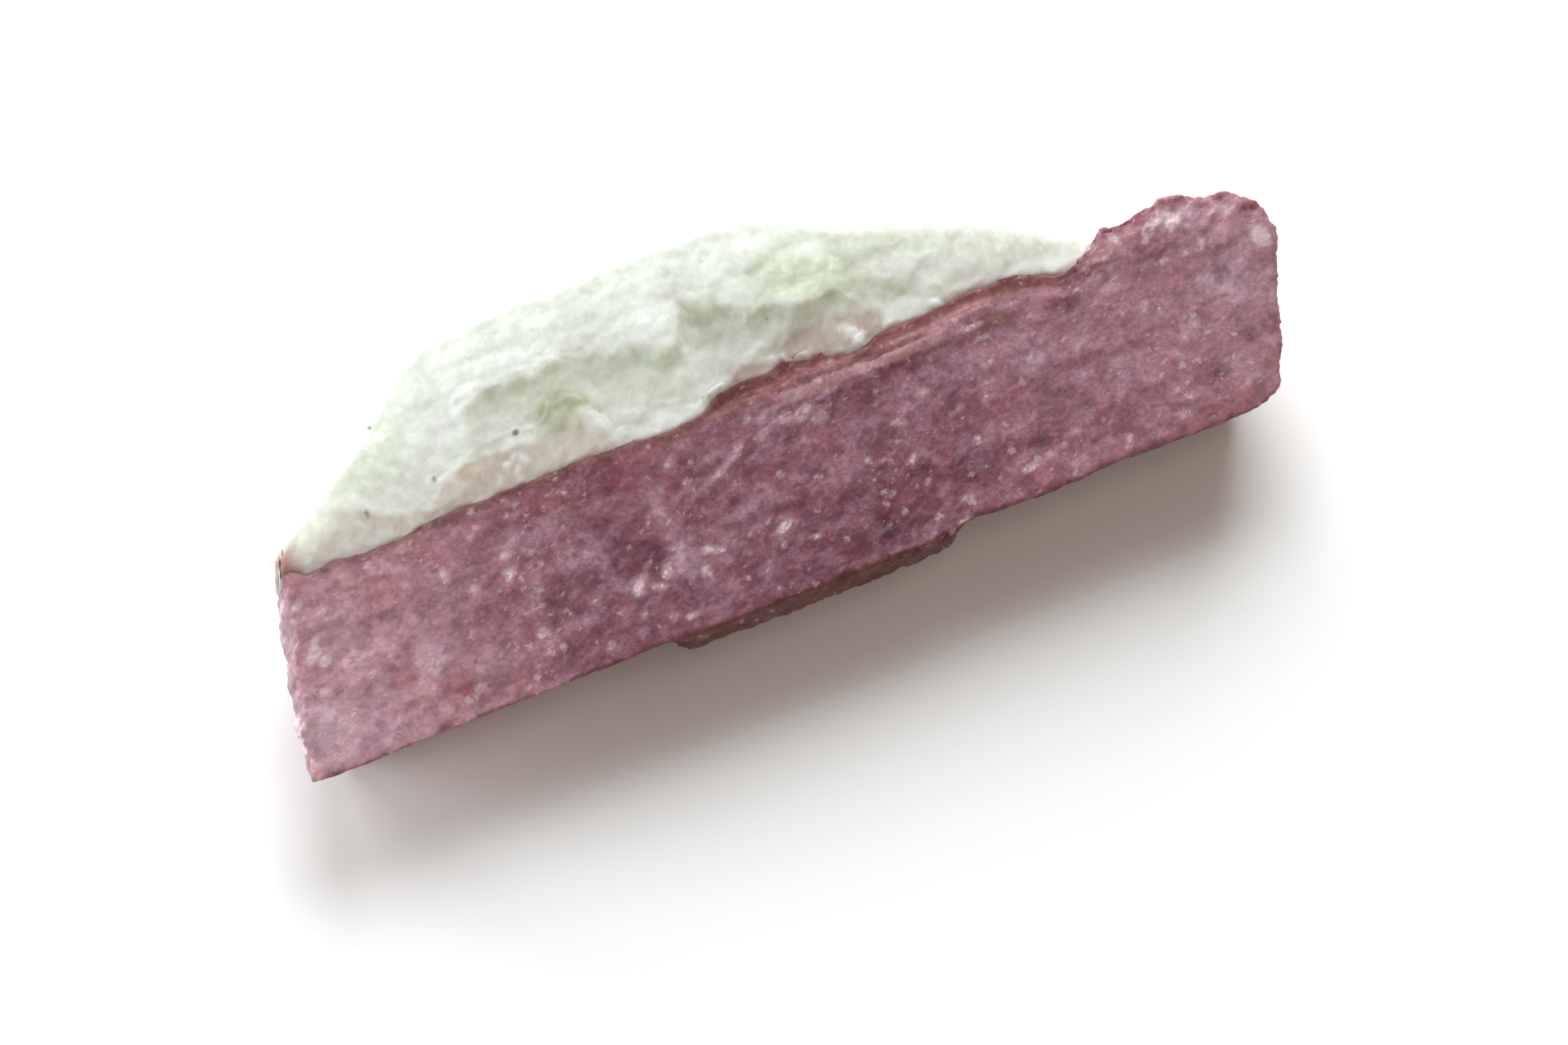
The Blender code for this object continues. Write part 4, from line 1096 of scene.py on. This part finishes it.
def tourmaline(piece):
    """Raw mauve-pink crystal."""
    material, shader = principled("tourmaline", CRYSTAL_BODY)
    tree = material.node_tree
    point, slanted = stone_point(tree), stone_point(tree, (0.7, 1.25, 1.0), 28)
    richness = maths(tree, "MULTIPLY_ADD", painted(tree, "body"), 0.6, 0.4)
    paleness = maths(tree, "SUBTRACT", 1.3, painted(tree, "body"))
    warm = cloud(tree, point, 2.3, 0.48, 0.12)
    crumbs = flecks(tree, slanted, 0.16, 0.11, 0.7, 0.0)
    masks = {
        "deep": times(tree, cloud(tree, slanted, 1.6, 0.48, 0.09), richness),
        "salmon": times(tree, warm, paleness),
        "warm": warm,
        "veil": cloud(tree, slanted, 1.0, 0.45, 0.10),
        "wisps": cloud(tree, slanted, 0.4, 0.42, 0.10),
        "pits": cloud(tree, point, 0.42, 0.40, 0.08),
        # small and large flecks: pale cleavage faces, partly painted glints
        "small": flecks(tree, slanted, 0.30, 0.11, 0.24, 3.0),
        "large": flecks(tree, point, 0.55, 0.15, 0.28, 1.8),
        "marks": times(tree, painted(tree, "pale"), maths(tree, "MULTIPLY_ADD", crumbs, 0.60, 0.32))}
    grain = use(tree, GRAIN, {"Point": point, "Size": 0.6})
    fine = use(tree, GRAIN, {"Point": point, "Size": 0.17})
    colour = tint(tree, painted(tree, "body"), BODY_PALE, BODY_DEEP)
    colour = glazed(tree, colour, COATS, masks)
    colour = grained(tree, colour, grain["Grain"], (0.78, 0.75, 0.77), (1.17, 1.18, 1.18))
    sugary = grained(tree, colour, fine["Grain"], (0.76, 0.73, 0.75), (1.18, 1.20, 1.20))
    colour = tint(tree, richness, colour, sugary)
    colour = glazed(tree, colour, FLECK_COATS, masks)
    rough = span(tree, grain["Grain"], 0.0, 1.0, 0.60, 0.40)
    height = maths(tree, "MULTIPLY_ADD", fine["Height"], 0.5, grain["Height"])
    both = maths(tree, "ADD", masks["small"], masks["large"])
    height = maths(tree, "MULTIPLY_ADD", both, 0.25, height)
    skin(tree, shader, colour, rough, height, strength=0.8, depth=0.05)
    piece.data.materials.append(material)


tourmaline(crystal)
print("the tourmaline has", len(crystal.data.materials[0].node_tree.nodes), "nodes")

# %% [markdown]
# ## Feldspar
#
# The matrix is a milky green-white feldspar. Light goes deeper into it than into the crystal, so its
# edges look soft, and its colour only changes from white to grey-green in the steep places, partly as
# painted shade, to beige in the low zone by the prism and to a rust-brown painted shade where the two
# stones touch. The wall behind the crest, the low ends and a band under the crest get painted shade, a
# darker grey, or the light from behind would burn them out to plain white.

# %% The feldspar's coats
MILK, GREEN_GREY, BEIGE = (0.86, 0.895, 0.85), (0.58, 0.66, 0.46), (0.72, 0.63, 0.55)
STREAK, BRIGHT, RUST_STAIN_AND_SHADE = (0.74, 0.81, 0.68), (0.92, 0.95, 0.93), (0.42, 0.24, 0.21)
DARK_SPECK, SHADED = (0.13, 0.12, 0.09), (0.27, 0.28, 0.245)
# among these coats the steep slopes and the contact are painted shade, and the greenish marks partly
MILK_COATS = (
    ("cloud", 0.35, STREAK), ("stain", 0.15, BEIGE), ("greenish", 0.45, GREEN_GREY),
    ("riser_shade", 0.22, GREEN_GREY), ("patchy", 1.0, BEIGE), ("wisps", 0.15, BRIGHT),
    ("rusty", 0.45, RUST_STAIN_AND_SHADE), ("white", 0.85, BRIGHT), ("contact", 0.5, RUST_STAIN_AND_SHADE),
    ("cracks", 0.25, GREEN_GREY))
# the back wall coat is painted shade
SPECK_COATS = (
    ("bright", 0.25, BRIGHT), ("back wall", 0.9, SHADED), ("specks", 0.6, DARK_SPECK),
    ("speck", 0.75, DARK_SPECK))
print(len(MILK_COATS + SPECK_COATS), "coats on the feldspar")

# %% Mix the feldspar
MATRIX_BODY = {
    "IOR": 1.53, "Specular IOR Level": 0.3, "Subsurface Weight": 0.8, "Subsurface Radius": (1.0, 1.0, 0.95),
    "Subsurface Scale": 1.1 * MM}


def feldspar(piece):
    """Pale green-white matrix."""
    material, shader = principled("feldspar", MATRIX_BODY)
    tree = material.node_tree
    point, streaked = stone_point(tree), stone_point(tree, (0.35, 1.0, 1.0), 4)
    streaks, wisps = cloud(tree, streaked, 1.0, 0.46, 0.14), cloud(tree, point, 0.5, 0.40, 0.08)
    uneven = span(tree, maths(tree, "ADD", wisps, streaks), 0.0, 2.0, 0.95, 0.45)
    masks = {
        "cloud": streaks,
        "stain": cloud(tree, point, 2.6, 0.36, 0.14),
        "patchy": times(tree, painted(tree, "low zone"), uneven),
        "wisps": wisps,
        "cracks": use(tree, CRACKS, {"Point": point, "Size": 2.0, "Width": 0.03})["Mask"],
        "bright": flecks(tree, point, 0.8, 0.16, 0.2, 0.8),
        "specks": flecks(tree, point, 1.5, 0.06, 0.1, 0.4)}
    grain = use(tree, GRAIN, {"Point": point, "Size": 0.3})
    colour = glazed(tree, MILK, MILK_COATS, masks)
    colour = grained(tree, colour, grain["Grain"], (0.92, 0.92, 0.90), (1.04, 1.04, 1.04))
    colour = glazed(tree, colour, SPECK_COATS, masks)
    rough = span(tree, grain["Grain"], 0.0, 1.0, 0.62, 0.45)
    skin(tree, shader, colour, rough, grain["Height"], strength=0.4, depth=0.03)
    piece.data.materials.append(material)


feldspar(matrix)
print("the feldspar has", len(matrix.data.materials[0].node_tree.nodes), "nodes")

# %% [markdown]
# ## Hand the pieces over
#
# Each surface stands in for the solid that it was made from, which is hidden. Nothing here moves, so
# both ride on the one body.

# %% Ride and replace
for piece, node, slot in ((crystal, CRYSTAL, "tourmaline"), (matrix, MATRIX, "feldspar")):
    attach(piece, "root")
    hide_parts(node)
    print(piece.name, "stands in for", node)
